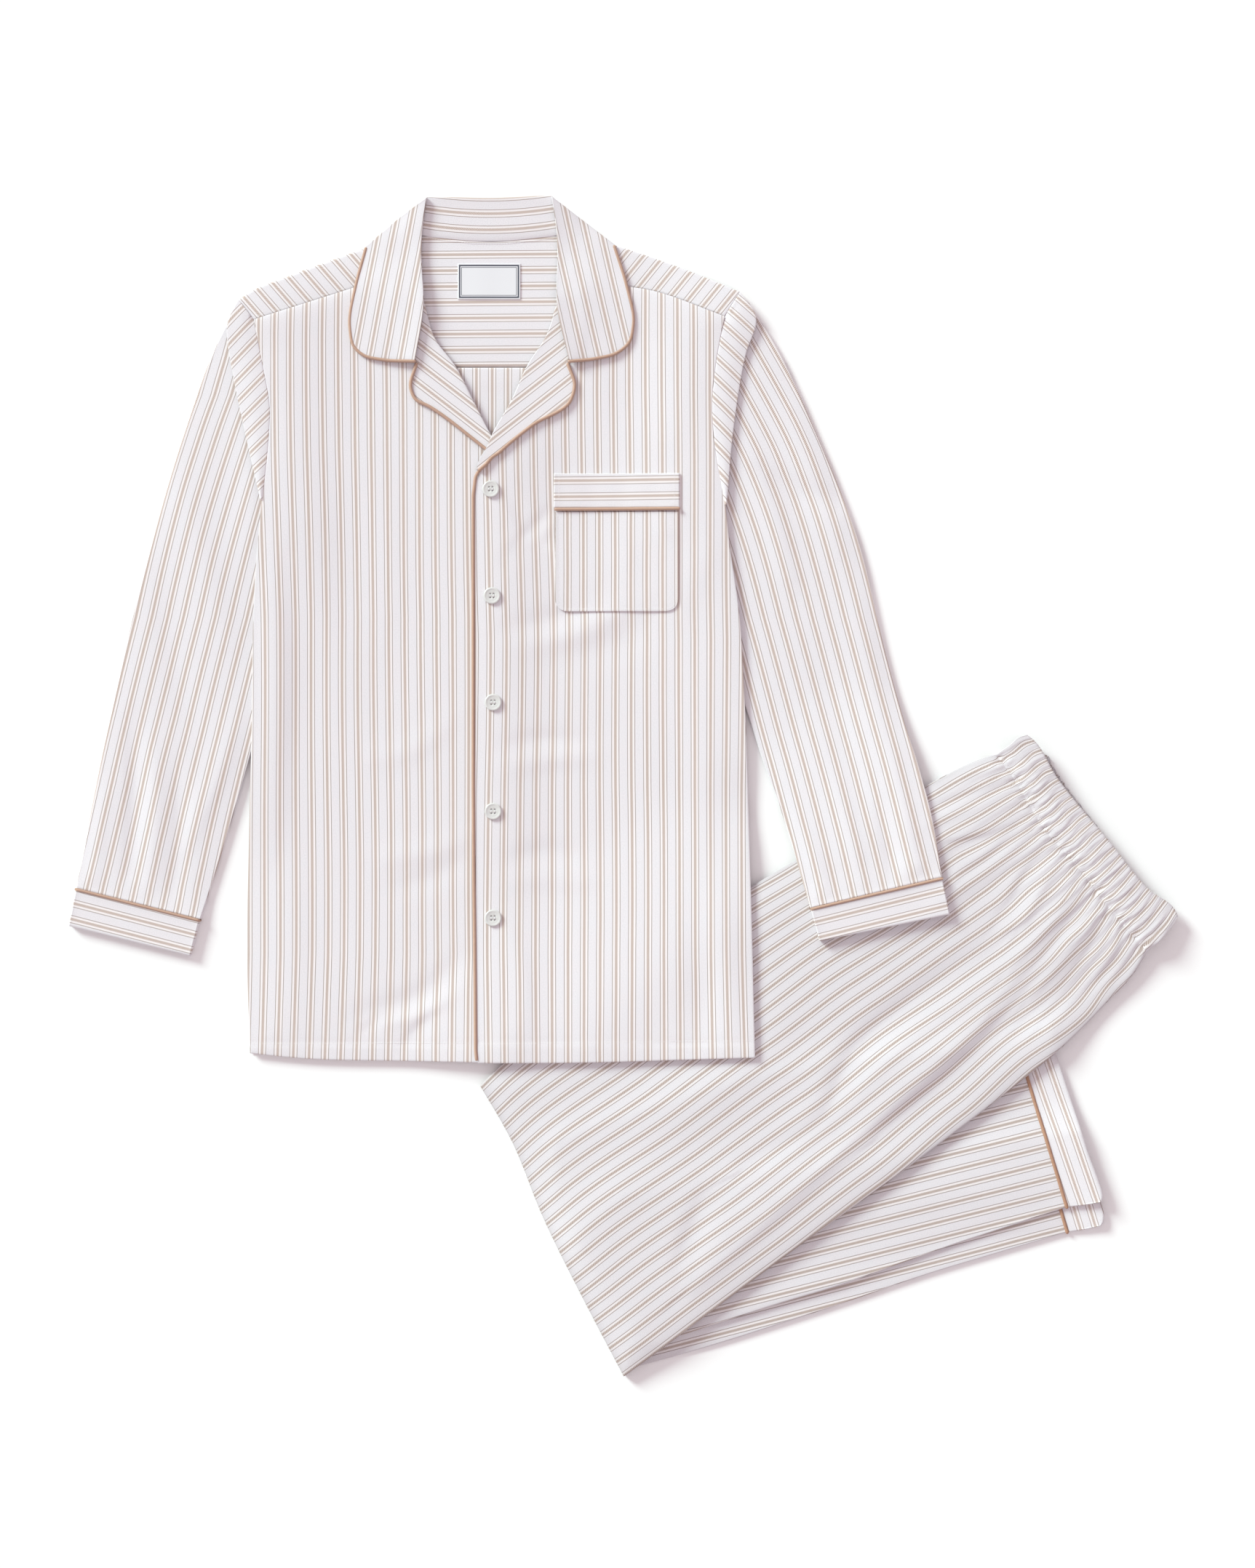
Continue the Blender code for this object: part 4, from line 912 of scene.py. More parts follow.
def stitches(name, line, pitch=2.8, thick=0.42, sink=0.1):
    """A row of lockstitches along a line on top of the cloth: each one dips in at both ends."""
    count = max(2, round(long(line) / pitch))
    corners, faces, cuts = [], [], []
    turn = np.arange(STITCH_SIDES) * 2 * math.pi / STITCH_SIDES
    size = STITCH_SHARE * long(line) / count
    numbers = np.arange(len(STITCH) * STITCH_SIDES).reshape(len(STITCH), STITCH_SIDES)
    for number in range(count):
        share = (number + 0.5) / count
        spot, after = spaced(line, share), spaced(line, min(1, share + 0.001))
        before = spaced(line, max(0, share - 0.001))
        run = (after - before) / max(1e-9, np.linalg.norm(after - before))
        side = np.array([-run[1], run[0]])
        ground = float(bed.read(spot)) - sink
        rings = numbers + len(corners)
        for along_it, lift, girth in STITCH:
            for a in turn:
                place = spot + run * along_it * size + side * math.cos(a) * thick / 2 * girth
                corners.append((*place, ground + lift * thick + math.sin(a) * thick / 2 * girth))
                cuts.append((a * thick, along_it * size))
        for a, b in zip(rings, rings[1:]):
            faces += loops_of_faces(a, b)[:, ::-1].tolist()
        faces += [rings[0].tolist(), rings[-1][::-1].tolist()]
    return mesh_object(name, np.array(corners), faces, np.array(cuts), thread)


casing_row = spaced(beside(through(*CASING), 1.2), np.linspace(0.01, 0.99, 200))
stitches("casing_stitches", casing_row, 2.6, 0.24, sink=0.17)


# ----------------------------------------------------------------------- sleeves and cuffs
# Each sleeve is a tapered tube, pressed flat, with its seam along the inner edge. It ends in a
# deep cuff, turned up and cut across the stripe, with piping caught round the whole seam.

SLEEVE_AIR, CUFF_AIR = 1.6, 3.7     # between the two plies
SLEEVE_WALL = 0.96
MOUTH_ROWS, MOUTH_LIFT = 12, 2.2    # the sleeve opens a little where the cuff is sewn on
CUFF_PIPE_RADIUS = 1.25
OUTSIDE = 4             # the stripes count from a line this far outside the sleeve's edge
SLEEVES = {
    "left": dict(
        outer=((-343, 433), (-362, 396), (-391, 317), (-425, 201), (-460, 52), (-488, -91)),
        inner=((-281, 247), (-315, 98), (-331, 33), (-354, -46), (-377, -119)),
        mouth=((-343, 433), (-307, 396), (-300, 338), (-281, 247)), first_band=(15.0, 11.0),
        spine=((-343, 433), (-391, 317), (-460, 52), (-488, -91)),
        sway=((-90, 0, 150, 300, 348, 380, 400), (1.3, -1.3, -4.2, -0.6, 1.2, 5.2, 8.2)),
        cuff_outer=((-488.6, -94), (-494.7, -124.7)), cuff_inner=((-378, -122), (-385.7, -151.7)),
        cuff_stripe=(-14.5, (-432.9, -119.9), 14.0),
        folds=((((-395, 268), (-372, 190), (-352, 118)), 14, 20, 1.1),
               (((-412, 190), (-402, 120), (-384, 40)), 16, 12, -0.9),
               (((-437, 60), (-436, -10), (-440, -84)), 13, 8, -1.5),
               (((-420, 40), (-418, -30), (-424, -92)), 9, 12, 1.2),
               (((-398, 20), (-396, -40), (-402, -100)), 9.5, 7, -1.1),
               (((-462, 0), (-470, -60), (-474, -92)), 7, 9, 0.8),
               (((-345, 60), (-365, 0), (-392, -60)), 8, 12, 1.0),
               (((-340, 330), (-330, 270), (-336, 200)), 12, 16, 1.2))),
    "right": dict(
        outer=((104, 440), (128, 406), (173, 312), (208, 224), (236, 110), (252, 52), (261.5, 22),
               (275.5, -34), (283, -81)),
        inner=((47, 247), (83, 143), (114.5, 52), (125, 20), (136, -10), (146, -40), (166, -108.5)),
        spine=((104, 440), (173, 312), (250, 58), (283, -81)),
        sway=((-50, 50, 150, 300), (1.3, 0, -0.6, 3.2)),
        mouth=((104, 440), (70, 396), (67, 338), (47, 247)), first_band=(30.0, 26.5),
        cuff_outer=((283.6, -84), (290, -114)), cuff_inner=((166.8, -111.5), (174, -138)),
        cuff_stripe=(14.0, (222.6, -122.7), 14.0),
        folds=((((128, 280), (160, 262), (196, 250)), 10, 16, -1.6),
               (((110, 300), (134, 240), (150, 180)), 10, 14, 1.4),
               (((150, 330), (176, 262), (196, 200)), 12, 14, 1.2),
               (((206, 180), (222, 90), (240, 10)), 12, 14, 1.0),
               (((170, 120), (196, 40), (214, -40)), 14, 12, -0.9),
               (((238, 30), (252, -30), (262, -78)), 7, 9, 1.2),
               (((190, 0), (204, -50), (214, -94)), 8, 10, 1.1),
               (((226, -20), (236, -60), (240, -88)), 8, 6, -1.1),
               (((150, -20), (170, -62), (180, -100)), 7, 9, 0.9))),
}
for side, lines in SLEEVES.items():
    outer, inner = through(*lines["outer"]), through(*lines["inner"])
    sleeve = patch(outer, inner, through(*lines["mouth"]), pitch=3.5)
    cuff = patch(through(*lines["cuff_outer"]), through(*lines["cuff_inner"]), pitch=3.2)
    under = bed.rest(sleeve, cuff, fall=0.09, soft=20)
    base, edge = under(sleeve), from_edge(sleeve)
    lift, source = creases(sleeve, lines["folds"])
    lift = (lift + 0.8 * (1 - np.exp(-edge / 14))) * (1 - np.exp(-edge / 6))
    top = np.maximum(base + 2 * WALL + SLEEVE_AIR + lift, base + 2 * WALL + 0.3)
    top[-MOUTH_ROWS:] += MOUTH_LIFT * np.linspace(0, 1, MOUTH_ROWS)[:, None] ** 1.5
    high, low = lines["first_band"]
    fall = np.clip((outer[:, 1].max() - sleeve[..., 1]) / np.ptp(outer[:, 1]), 0, 1)
    spine = beside(through(*lines["spine"]), OUTSIDE if side == "right" else -OUTSIDE)
    across = (from_line(source, spine) - OUTSIDE - high + (high - low) * fall
              + np.interp(sleeve[..., 1], *lines["sway"])) * REPEAT / 13.9 + WIDE_BAND
    arm = tube(f"sleeve_{side}", sleeve, base, top, SLEEVE_WALL,
               np.dstack([across, sleeve[..., 1]]), striped, much=0.2)
    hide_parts(f"sleeve_{side}")
    bed.press(sleeve, top)
    base = under(cuff)
    cuff_top = base + 2 * WALL + CUFF_AIR + 0.3 * np.exp(-from_edge(cuff) / 3)
    end = tube(f"cuff_{side}", cuff, base, cuff_top, WALL, stripes(*lines["cuff_stripe"])(cuff),
               striped, much=0.3)
    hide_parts(f"cuff_{side}")
    bed.press(cuff, cuff_top)
    shares = np.linspace(0.004, 0.996, 50)
    joint = (spaced(sleeve[-1, [0, -1]], shares) + spaced(cuff[0, [0, -1]], shares)) / 2
    below = under(joint) + CUFF_PIPE_RADIUS
    above = np.interp(np.linspace(0, 1, 50), np.linspace(0, 1, top.shape[1]), top[-1]) + 0.1
    ring = np.vstack([np.column_stack([joint, above]), np.column_stack([joint, below])[::-1]])
    trim = round_trim(f"cuff_piping_{side}", ring, CUFF_PIPE_RADIUS, tan_trim, closed=True)
    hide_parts(f"cuff_piping_{side}")
    bed.press(joint[None].repeat(2, 0), (above + 1.1)[None].repeat(2, 0))


# ---------------------------------------------------------------------------- back and yoke
# The back hangs from a yoke that is cut across the stripe. The yoke lies inside the neck and
# folds forward over both shoulders, where the fronts are sewn to it.

BACK_LEFT = ((-333, -239), (-335, -185), (-331, 52), (-328, 182), (-322, 252), (-316, 306),
             (-315, 338), (-321, 373))
BACK_RIGHT = ((117, -242), (114, -115), (107, 94), (103, 155), (94, 219), (91, 248), (81, 306),
              (79, 340), (82, 373))
BACK_HEM = ((-333, -239), (-294, -243), (-185, -246), (-101, -247), (-63, -247), (117, -242))
YOKE_TOP = ((-341, 430), (-333, 437), (-298, 451.5), (-231, 476.5), (-193, 489), (-179, 491),
            (-118, 486), (-60, 491), (-44, 489), (-6, 478.5), (54, 457.5), (102, 437))

back = patch(through(*BACK_LEFT), through(*BACK_RIGHT), through(*BACK_HEM),
             through((-321, 373), (82, 373)), pitch=4.5)
yoke = patch(through((-321, 374), (-328, 413), (-341, 430)),
             through((82, 374), (89, 416), (102, 437)),
             through((-321, 374), (82, 374)), through(*YOKE_TOP), pitch=4.5)
under = bed.rest(back, yoke, fall=0.09, soft=20)
BACK_FOLDS = (
    (((-260, 300), (-250, 120), (-262, -60)), 22, 30, 0.8),
    (((20, 280), (36, 120), (30, -40)), 20, 24, 0.7),
    (((-118, 352), (-117, 322), (-116, 290)), 14, 12, -0.4),
    (((-170, 366), (-120, 362), (-70, 366)), 10, 8, 0.5),
)
lift, source = creases(back, BACK_FOLDS)
back_top = under(back) + WALL + 0.9 + lift
piece = wall("back", back, under(back), back_top, stripes(90, (-117.2, 351.0))(source), striped,
             sewn=[back[-1]])
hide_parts("back")
yoke_top = under(yoke) + WALL + 0.5 + 0.5 * np.exp(-((yoke[..., 1] - 410) / 22) ** 2)
inside = wall("yoke", yoke, under(yoke), yoke_top, stripes(0.4, (-115.1, 417.5), 14.2)(yoke),
              striped, sewn=[yoke[0]])
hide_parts("yoke")
bed.press(back, back_top)
bed.press(yoke, yoke_top)

SHOULDER_LEFT = ((-329, 415), (-241, 444), (-193, 460))
SHOULDER_RIGHT = ((-44, 460), (5, 445), (18, 443), (90, 418))
ARM_LEFT, ARM_RIGHT = ((-343, 433), (-329, 415)), ((104, 440), (90, 418))
STRIPS = {
    "left": dict(fold=((-343, 433), (-333, 440), (-298, 455), (-231, 480), (-193, 493)),
                 seam=SHOULDER_LEFT, arm=ARM_LEFT, stripe=(-49, (-288.3, 441.3), 13.9),
                 flat=(0.17, 0.034)),
    "right": dict(fold=((104, 440), (54, 461), (-6, 482), (-44, 493)),
                  seam=SHOULDER_RIGHT[::-1], arm=ARM_RIGHT, stripe=(51, (47.3, 442.5), 13.9),
                  flat=(0.17, 0.036)),
}
for side, lines in STRIPS.items():
    strip = patch(through(*lines["fold"]), through(*lines["seam"]), through(*lines["arm"]), pitch=3)
    base = bed.rest(strip)(strip)
    top = base + WALL + 0.3 * (1 - np.exp(-from_edge(strip) / 6))
    base[:, 0] = np.maximum(under(strip)[:, 0], 0)      # the fold over the shoulder
    piece = wall(f"yoke_shoulder_{side}", strip, base, top, stripes(*lines["stripe"])(strip),
                 striped, much=0.2, sewn=[strip[:, -1], strip[0]])
    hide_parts("yoke")
    bed.press(strip, top)
seam = spaced(np.array([(-170.0, 376.2), (-60.0, 376.2)]), np.linspace(0, 1, 20))
stitches("yoke_stitches", seam, CLOSE, 0.36)


# ------------------------------------------------------------------------------- neck label
# A small woven satin label, left blank, with a plain navy border woven in. It is sewn flat to
# the inside of the yoke, all round its edge.

LABEL = (-148, 466, -92, 434)
LABEL_WALL = 0.7
left, high, right, low = LABEL
label_cloth, shader, start = finish_of("woven_label_satin", 0.55, gloss=0.4)
_, x, y = start.on_cloth()
to_edge = x.least((right - left) - x).least(y.least((high - low) - y))
pick = (y * 20).sine() * 0.5 + 0.5


def frame_line(inset, width):
    """A line of the border, this far in from the edge."""
    return woven_band(to_edge, inset, width, 0.15)


border = (frame_line(1.8, 1.35) + frame_line(3.5, 0.5)).clamped() * (0.85 + 0.15 * pick)
satin = (pick * 0.6 + 0.2).mixed(linear(226, 226, 230), linear(240, 240, 243))
border.mixed(satin, linear(38, 44, 66)).feeds(shader, "Base Color")
pick.raises(shader, 0.2, 0.0001)
spots = patch(np.array([(left, high), (right, high)], float),
              np.array([(left, low), (right, low)], float), pitch=2)
base = bed.rest(spots)(spots)
top = base + LABEL_WALL + 0.25 * np.exp(-((spots[..., 0] - left - 20) / 12) ** 2)
piece = wall("neck_label", spots, base, top, spots - (left, low), label_cloth)
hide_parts("neck_label")
bed.press(spots, top)
edge = np.array([(left + 1, low + 1), (right - 1, low + 1), (right - 1, high - 1),
                 (left + 1, high - 1), (left + 1, low + 1)])
stitches("label_stitches", edge, 2.2, 0.3)


# ------------------------------------------------------------------ left front and its lapel
# The left front lies under the right one. Above the first button it turns back along the roll
# line as a lapel, faced with the same cloth on the slant and piped along its edge. A fold of
# the sleeve head lies beside the armhole.

PIPING, PIPE_RADIUS = 3.0, 1.45
HEM_DEPTH = 16.0


def tucked(spots, line):
    """Thinner towards a seam, where the cloth is turned under."""
    return 0.3 + 0.7 * (1 - np.exp(-from_line(spots, line) / 3))


def sleeve_head(side, outer, inner, arm, stripe, under):
    """The folded top of the sleeve, beside the armhole."""
    head = patch(through(*outer), through(*inner), through(*arm), pitch=2.8, columns=14)
    share = np.linspace(0, 1, head.shape[1])[None]
    shoulder_end = through(*arm)
    far = from_line(head, shoulder_end)
    base = under(head) + 0.5 * (1 - share) - 2.0 * np.exp(-far / 8)
    base = np.where((share < 0.7) & (far < 25), np.maximum(base, bed.read(head) + 0.1), base)
    top = base + WALL * tucked(head, shoulder_end) + 0.8 * np.sin(math.pi * share) ** 1.3
    piece = wall(f"sleeve_head_{side}", head, base, top, stripe(head), striped, much=0.2,
                 roundness=0.35, sewn=[head[:, -1], head[0]])
    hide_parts(f"sleeve_head_{side}")
    bed.press(head, top)


def bent(angle, on_band, pitch, centre, curl):
    """Stripes that turn a little along their way."""
    plain = stripes(angle, on_band, pitch)

    def cut(spots):
        """The place on the cloth of each spot."""
        places = plain(spots)
        places[..., 0] += curl * ((spots - np.array(centre)) ** 2).sum(-1)
        return places
    return cut


def wavering(cut, strength=0.7):
    """Cloth never lies quite straight, so its stripes waver a little."""
    x, y = cut[..., 0], cut[..., 1]
    cut = cut.copy()
    cut[..., 0] += strength * (np.sin(x / 61 + y / 97) + 0.6 * np.sin(x / 37 - y / 53 + 2))
    return cut


def hem_relief(spots, hem_height):
    """The turned-up hem stands a little proud above its row of stitches."""
    up = spots[..., 1] - hem_height - HEM_DEPTH
    return 0.35 / (1 + np.exp(np.minimum((up + 1) / 0.8, 50))) - 0.5 * np.exp(-(up / 1.6) ** 2)


def lay_front(side, edges, hem, shoulder, armhole, head, air, folds, stripe, sway, hem_height):
    """One front on what lies under it, before its sleeve head.

    sway gives heights, and how far the stripes lie to the right there. The result is the piece,
    its grid, and where the underside of the front and the head comes to lie.
    """
    shoulder = through(*shoulder)
    front = patch(*edges, through(*hem), shoulder, pitch=3.3)
    head_grid = patch(*(through(*head[line]) for line in ("outer", "inner", "arm")))
    under = bed.rest(front, head_grid, fall=0.1, air=air, soft=20)
    edge = from_edge(front)
    lift, source = creases(front, folds)
    base = under(front) + (0.9 * (1 - np.exp(-edge / 20)) + lift) * (1 - np.exp(-edge / 6))
    base = np.maximum(base, bed.read(front) + 0.12)
    top = base + WALL * tucked(front, shoulder) + hem_relief(front, hem_height)
    cut = stripes(90, *stripe)(source)
    cut[..., 0] -= np.interp(front[..., 1], *sway)
    piece = wall(f"front_{side}", front, base, top, wavering(cut), striped, much=0.35,
                 roundness=0.4, sewn=[shoulder, through(*armhole)])
    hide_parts(f"front_{side}")
    bed.press(front, top)
    return piece, front, under


LEFT_HEAD = dict(
    outer=((-343, 433), (-352.6, 411), (-352.2, 392), (-348.5, 370), (-343, 342), (-338.4, 321),
           (-323, 254)),
    inner=((-329, 415), (-321, 373), (-315, 338), (-316, 306), (-321, 254)), arm=ARM_LEFT)
ROLL_LEFT = ((-101, 288), (-118, 313), (-132, 340), (-151, 376), (-167, 397), (-178, 432))
FRONT_LEFT_SIDE = (*BACK_LEFT, SHOULDER_LEFT[0])
left_edge = np.vstack([through((-101, -247), (-101, 270)), through(*[
    (x - 3.5, y - 3) for x, y in ROLL_LEFT], SHOULDER_LEFT[-1])])
LEFT_FOLDS = (
    (((-262, 330), (-250, 240), (-246, 150)), 26, 22, -0.9),
    (((-225, 300), (-215, 200), (-222, 110)), 20, 24, 0.8),
    (((-296, 200), (-286, 90), (-292, 10)), 20, 14, -1.0),
    (((-312, 210), (-308, 60), (-314, -60)), 10, 14, 0.9),
    (((-150, 60), (-190, 30), (-230, 22)), 9, 12, 0.7),
    (((-140, -48), (-180, -62), (-216, -66)), 8, 12, 0.8),
    (((-140, -66), (-176, -84), (-210, -92)), 11, 8, -0.7),
    (((-140, -150), (-180, -186), (-240, -206)), 14, 10, -1.3),
    (((-150, -186), (-186, -206), (-222, -214)), 6, 9, 0.9),
    (((-170, -204), (-184, -216), (-198, -232)), 11, 3.5, -1.0),
    (((-214, -206), (-226, -214), (-238, -222)), 9, 3.5, -0.8),
    (((-300, -60), (-296, -150), (-302, -236)), 16, 20, 0.6),
)


piece, front, under = lay_front(
    "left", edges=(through(*FRONT_LEFT_SIDE), left_edge), hem=BACK_HEM[:4], shoulder=SHOULDER_LEFT,
    armhole=FRONT_LEFT_SIDE[4:], head=LEFT_HEAD, air=1.6, folds=LEFT_FOLDS,
    stripe=((-236.6, 51.9), 14.05),
    sway=((-245, -150, 150, 300, 400), (-1.3, 0.7, 0.7, -2.3, -3.5)), hem_height=-245.5)
sleeve_head("left", **LEFT_HEAD, stripe=bent(45, (-327.3, 357.8), 13.7, (-335, 350), 0.0003),
            under=under)
hem_row = np.array([(x, -245.6 + HEM_DEPTH + (x + 200) * 0.003)
                    for x in np.linspace(-331, -136, 100)])
stitches("hem_stitches_left", hem_row)
stitches("yoke_seam_stitches_left",
         beside(through((-327, 416.5), (-241, 445), (-200, 458.5)), 1.0), CLOSE, 0.32)


def evened(heights, times=6):
    """Heights evened out along the rows."""
    for _ in range(times):
        heights[1:-1] = (heights[:-2] + 2 * heights[1:-1] + heights[2:]) / 4
    return heights


def running_mean(heights, reach):
    """Heights along a line, each evened out over this many spots to both sides."""
    count = 2 * reach + 1
    return np.convolve(np.pad(heights, reach, "edge"), np.ones(count) / count, "valid")


def lapel(side, roll, edge, tuck, stripe):
    """The turned-back facing: round along its roll line, and piped along its edge."""
    sign = 1 if side == "left" else -1
    outline = through(*edge)
    inset = beside(outline, sign * PIPING * 0.7)
    outer = np.vstack([np.array(tuck, float), inset])
    roll_line = through(*roll[::-1])
    cloth = patch(roll_line, outer, pitch=2.8)
    share = np.linspace(0, 1, cloth.shape[1])[None]
    base = evened(bed.rest(cloth, soft=14)(cloth))
    lift = 0.9 * np.exp(-(from_line(cloth, roll_line) / 12) ** 1.4)
    top = base + WALL + lift
    base[:, 1:] += lift[:, 1:]
    base[:, 0] -= 0.5                 # rolled over the edge of the front
    piece = wall(f"lapel_{side}", cloth, np.maximum(base, 0.2), top, wavering(stripe(cloth), 0.5),
                 striped, roundness=0.6)
    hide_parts(f"lapel_{side}")
    bed.press(cloth, top)
    line = spaced(beside(outline, sign * PIPING / 2), np.linspace(0.0, 1, 110))
    heights = running_mean(np.maximum(bed.read(line), np.median(bed.read(line)) - 4), 3)
    trim = round_trim(f"lapel_piping_{side}", np.column_stack([line, heights + PIPE_RADIUS * 0.35]),
                      PIPE_RADIUS, tan_trim)
    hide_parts(f"lapel_piping_{side}")


lapel("left", ROLL_LEFT,
      ((-186, 376), (-191, 354), (-187, 344), (-173, 336), (-134, 307), (-122.5, 297.8)),
      ((-202, 440), (-196, 400)), stripes(-38, (-165.7, 345.3)))


# ----------------------------------------------------------------- right front and buttons
# The right front laps over the left one. Its edge is piped from the hem to the lapel, and its
# five pearl-coloured buttons lie over buttonholes, sewn on with white thread.

RIGHT_HEAD = dict(
    outer=((104, 440), (118, 418), (109, 384), (98, 317), (92, 250)),
    inner=((90, 418), (82, 373), (79, 340), (81, 306), (90, 250)), arm=ARM_RIGHT)
ROLL_RIGHT = ((-131, 281), (-127.9, 291.2), (-122.2, 300.2), (-117.5, 311.5), (-101, 341),
              (-85, 376), (-69, 401), (-59, 432))
FRONT_RIGHT_SIDE = (*BACK_RIGHT, SHOULDER_RIGHT[-1])
RIGHT_FOLDS = (
    (((-104, 262), (-86, 228), (-66, 214)), 8, 5, -0.9),
    (((-100, 212), (-76, 222), (-58, 240)), 9, 6, 0.7),
    (((-104, 206), (-84, 226), (-64, 246)), 5, 11.5, -1.0),
    (((-104, 140), (-60, 150), (-8, 176)), 9, 13, -1.1),
    (((-96, 124), (-40, 136), (20, 170)), 14, 10, 1.0),
    (((-60, 110), (0, 128), (52, 172)), 12, 16, -0.7),
    (((20, 140), (52, 168), (78, 216)), 18, 14, 0.7),
    (((-108, 36), (-76, 42), (-30, 40)), 7, 10, -0.8),
    (((-106, 16), (-70, 22), (-24, 26)), 11, 8, 0.8),
    (((-104, -66), (-70, -58), (-40, -62)), 8, 11, -0.8),
    (((-104, -86), (-66, -84), (-30, -88)), 12, 8, 0.7),
    (((-108, -120), (-90, -160), (-88, -226)), 8, 12, 0.7),
    (((60, -120), (70, -180), (66, -236)), 16, 12, -0.9),
    (((86, -80), (92, -170), (92, -236)), 12, 14, 0.8),
    (((-40, -222), (-30, -232), (-24, -243)), 4, 6, 0.5),
    (((64, 90), (70, 20), (66, -60)), 16, 22, 0.6),
    (((-20, 420), (0, 372), (4, 320)), 22, 18, -0.7),
    (((40, 400), (48, 350), (44, 300)), 16, 20, 0.7),
)
FRONT_EDGE = ((-132.6, 268), (-133.9, 258), (-133.9, 0), (-133.3, -80), (-132, -180),
              (-131.4, -236), (-130.6, -243.5))
edge_line = np.vstack([np.array(FRONT_EDGE[:1:-1]) + (1.4, 0), (-132.5, 262), through(
    (-131, 272), *[(x + 3.0, y - 3) for x, y in ROLL_RIGHT], SHOULDER_RIGHT[0])])
edge_line[0, 1] = -247
piece, front, under = lay_front(
    "right", edges=(edge_line, through(*FRONT_RIGHT_SIDE)),
    hem=((-129.2, -247), (-63, -247), (117, -242)), shoulder=SHOULDER_RIGHT,
    armhole=FRONT_RIGHT_SIDE[5:], head=RIGHT_HEAD, air=1.2, folds=RIGHT_FOLDS,
    stripe=((6.8, 52.3), 14.15), sway=((-245, -150, 0, 130, 350), (1, 0, 0, 1.3, -1.6)),
    hem_height=-244.5)
sleeve_head("right", **RIGHT_HEAD, stripe=bent(-45, (90.2, 375.1), 13.8, (100, 340), -0.0006),
            under=under)
hem_row = np.array([(x, -244.8 + HEM_DEPTH + (x + 60) * 0.012)
                    for x in np.linspace(-127, 113, 100)])
stitches("hem_stitches_right", hem_row)
stitches("yoke_seam_stitches_right",
         beside(through((-36, 458.5), (5, 446), (18, 444), (87, 420)), 1.0), CLOSE, 0.32)
line = spaced(np.vstack([through((-117.7, 291.2), (-122.2, 286), (-128.1, 280.8), (-131.4, 275.4),
                                 *FRONT_EDGE[:2]), FRONT_EDGE[2:]]), np.linspace(0, 1, 260))
heights = running_mean(bed.read(line + (2.5, 0)), 4)
trim = round_trim("front_piping", np.column_stack([line, heights - 0.2]), PIPE_RADIUS, tan_trim)
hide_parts("front_piping")

pearl, shader, start = finish_of("pearl_button_resin", 0.28, gloss=0.5)
shader.inputs["Coat Weight"].default_value = 0.35
shader.inputs["Coat Roughness"].default_value = 0.15
cloud = start.node("TexCoord", None, None, 3).noise(260.0, 4.0, 1.4)
cloud.mixed(linear(208, 207, 205), linear(230, 229, 226)).feeds(shader, "Base Color")

BUTTONS = ((-118, 264), (-117, 169), (-116, 74), (-116, -23), (-116, -118))
BUTTON_RADIUS, HOLE_RADIUS, HOLE_PITCH = 7.5, 0.8, 3.0
BUTTON_SECTION = ((0, 1.7), (4.6, 1.7), (5.2, 1.75), (5.7, 1.95), (6.3, 2.1), (6.9, 2.05),
                  (7.3, 1.8), (7.5, 1.3))
THREAD_RADIUS, THREAD_TOP, THREAD_DIP = 0.22, 1.9, 1.5
bars = (-HOLE_PITCH / 2, HOLE_PITCH / 2)
holes = [(x, y) for x in bars for y in bars]


def circle(centre, radius, sides):
    """Spots in a ring round a centre."""
    a = np.arange(sides) * 2 * math.pi / sides
    return np.array(centre) + radius * np.stack([np.cos(a), np.sin(a)], -1)


def from_hole(spot):
    """How far a spot of the button lies from the middle of the nearest hole."""
    return min(np.hypot(*(spot - np.array(hole))) for hole in holes)


rings = [circle((0, 0), radius, 40) for radius, _ in BUTTON_SECTION[1:]]
rings += [circle(hole, HOLE_RADIUS * grow, 12) for hole in holes for grow in (1.0, 1.3)]
spots, edges = [], []
for ring in rings:
    first = len(spots)
    spots += [tuple(spot) for spot in ring]
    edges += [(first + k, first + (k + 1) % len(ring)) for k in range(len(ring))]
flat, _, triangles, *_ = delaunay_2d_cdt(spots, edges, [], 0, 1e-5)
flat = np.array(flat)
kept = [t for t in triangles if from_hole(flat[list(t)].mean(0)) > HOLE_RADIUS * 0.96]
button_top = np.interp(np.hypot(*flat.T), *np.array(BUTTON_SECTION).T)
button_top -= 0.15 * (np.array([from_hole(spot) for spot in flat]) < HOLE_RADIUS * 1.1)
button_low = np.where(np.hypot(*flat.T) > 7.2, 0.7, 0.1)
pairs = [pair for a, b, c in kept for pair in ((a, b), (b, c), (c, a))]
known, count = set(pairs), len(flat)
button_faces = [list(t) for t in kept] + [[k + count for k in reversed(t)] for t in kept]
button_faces += [[b, a, a + count, b + count] for a, b in pairs if (b, a) not in known]
share = np.linspace(-1, 1, 9)       # along a bar of thread, from hole to hole
strands = [(x, shift) for x in bars for shift in (-0.25, 0.25)]
for number, centre in enumerate(BUTTONS, start=1):
    seat = float(np.percentile(bed.read(circle(centre, BUTTON_RADIUS - 1, 24)), 80)) + 0.05
    corners = np.vstack([np.column_stack([flat + centre, button_top + seat]),
                         np.column_stack([flat + centre, button_low + seat])])
    button = mesh_object(f"button_{number}", corners, button_faces, np.vstack([flat, flat]), pearl)
    button.data.set_sharp_from_angle(angle=math.radians(50))
    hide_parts(f"button_{number}")
    for k, (x, shift) in enumerate(strands, start=1):
        strand = np.column_stack([
            np.full(len(share), centre[0] + x + shift), centre[1] + share * HOLE_PITCH / 2,
            seat + THREAD_TOP - THREAD_DIP * np.abs(share) ** 5])
        round_trim(f"button_thread_{number}_{k}", strand, THREAD_RADIUS, thread, sides=6)
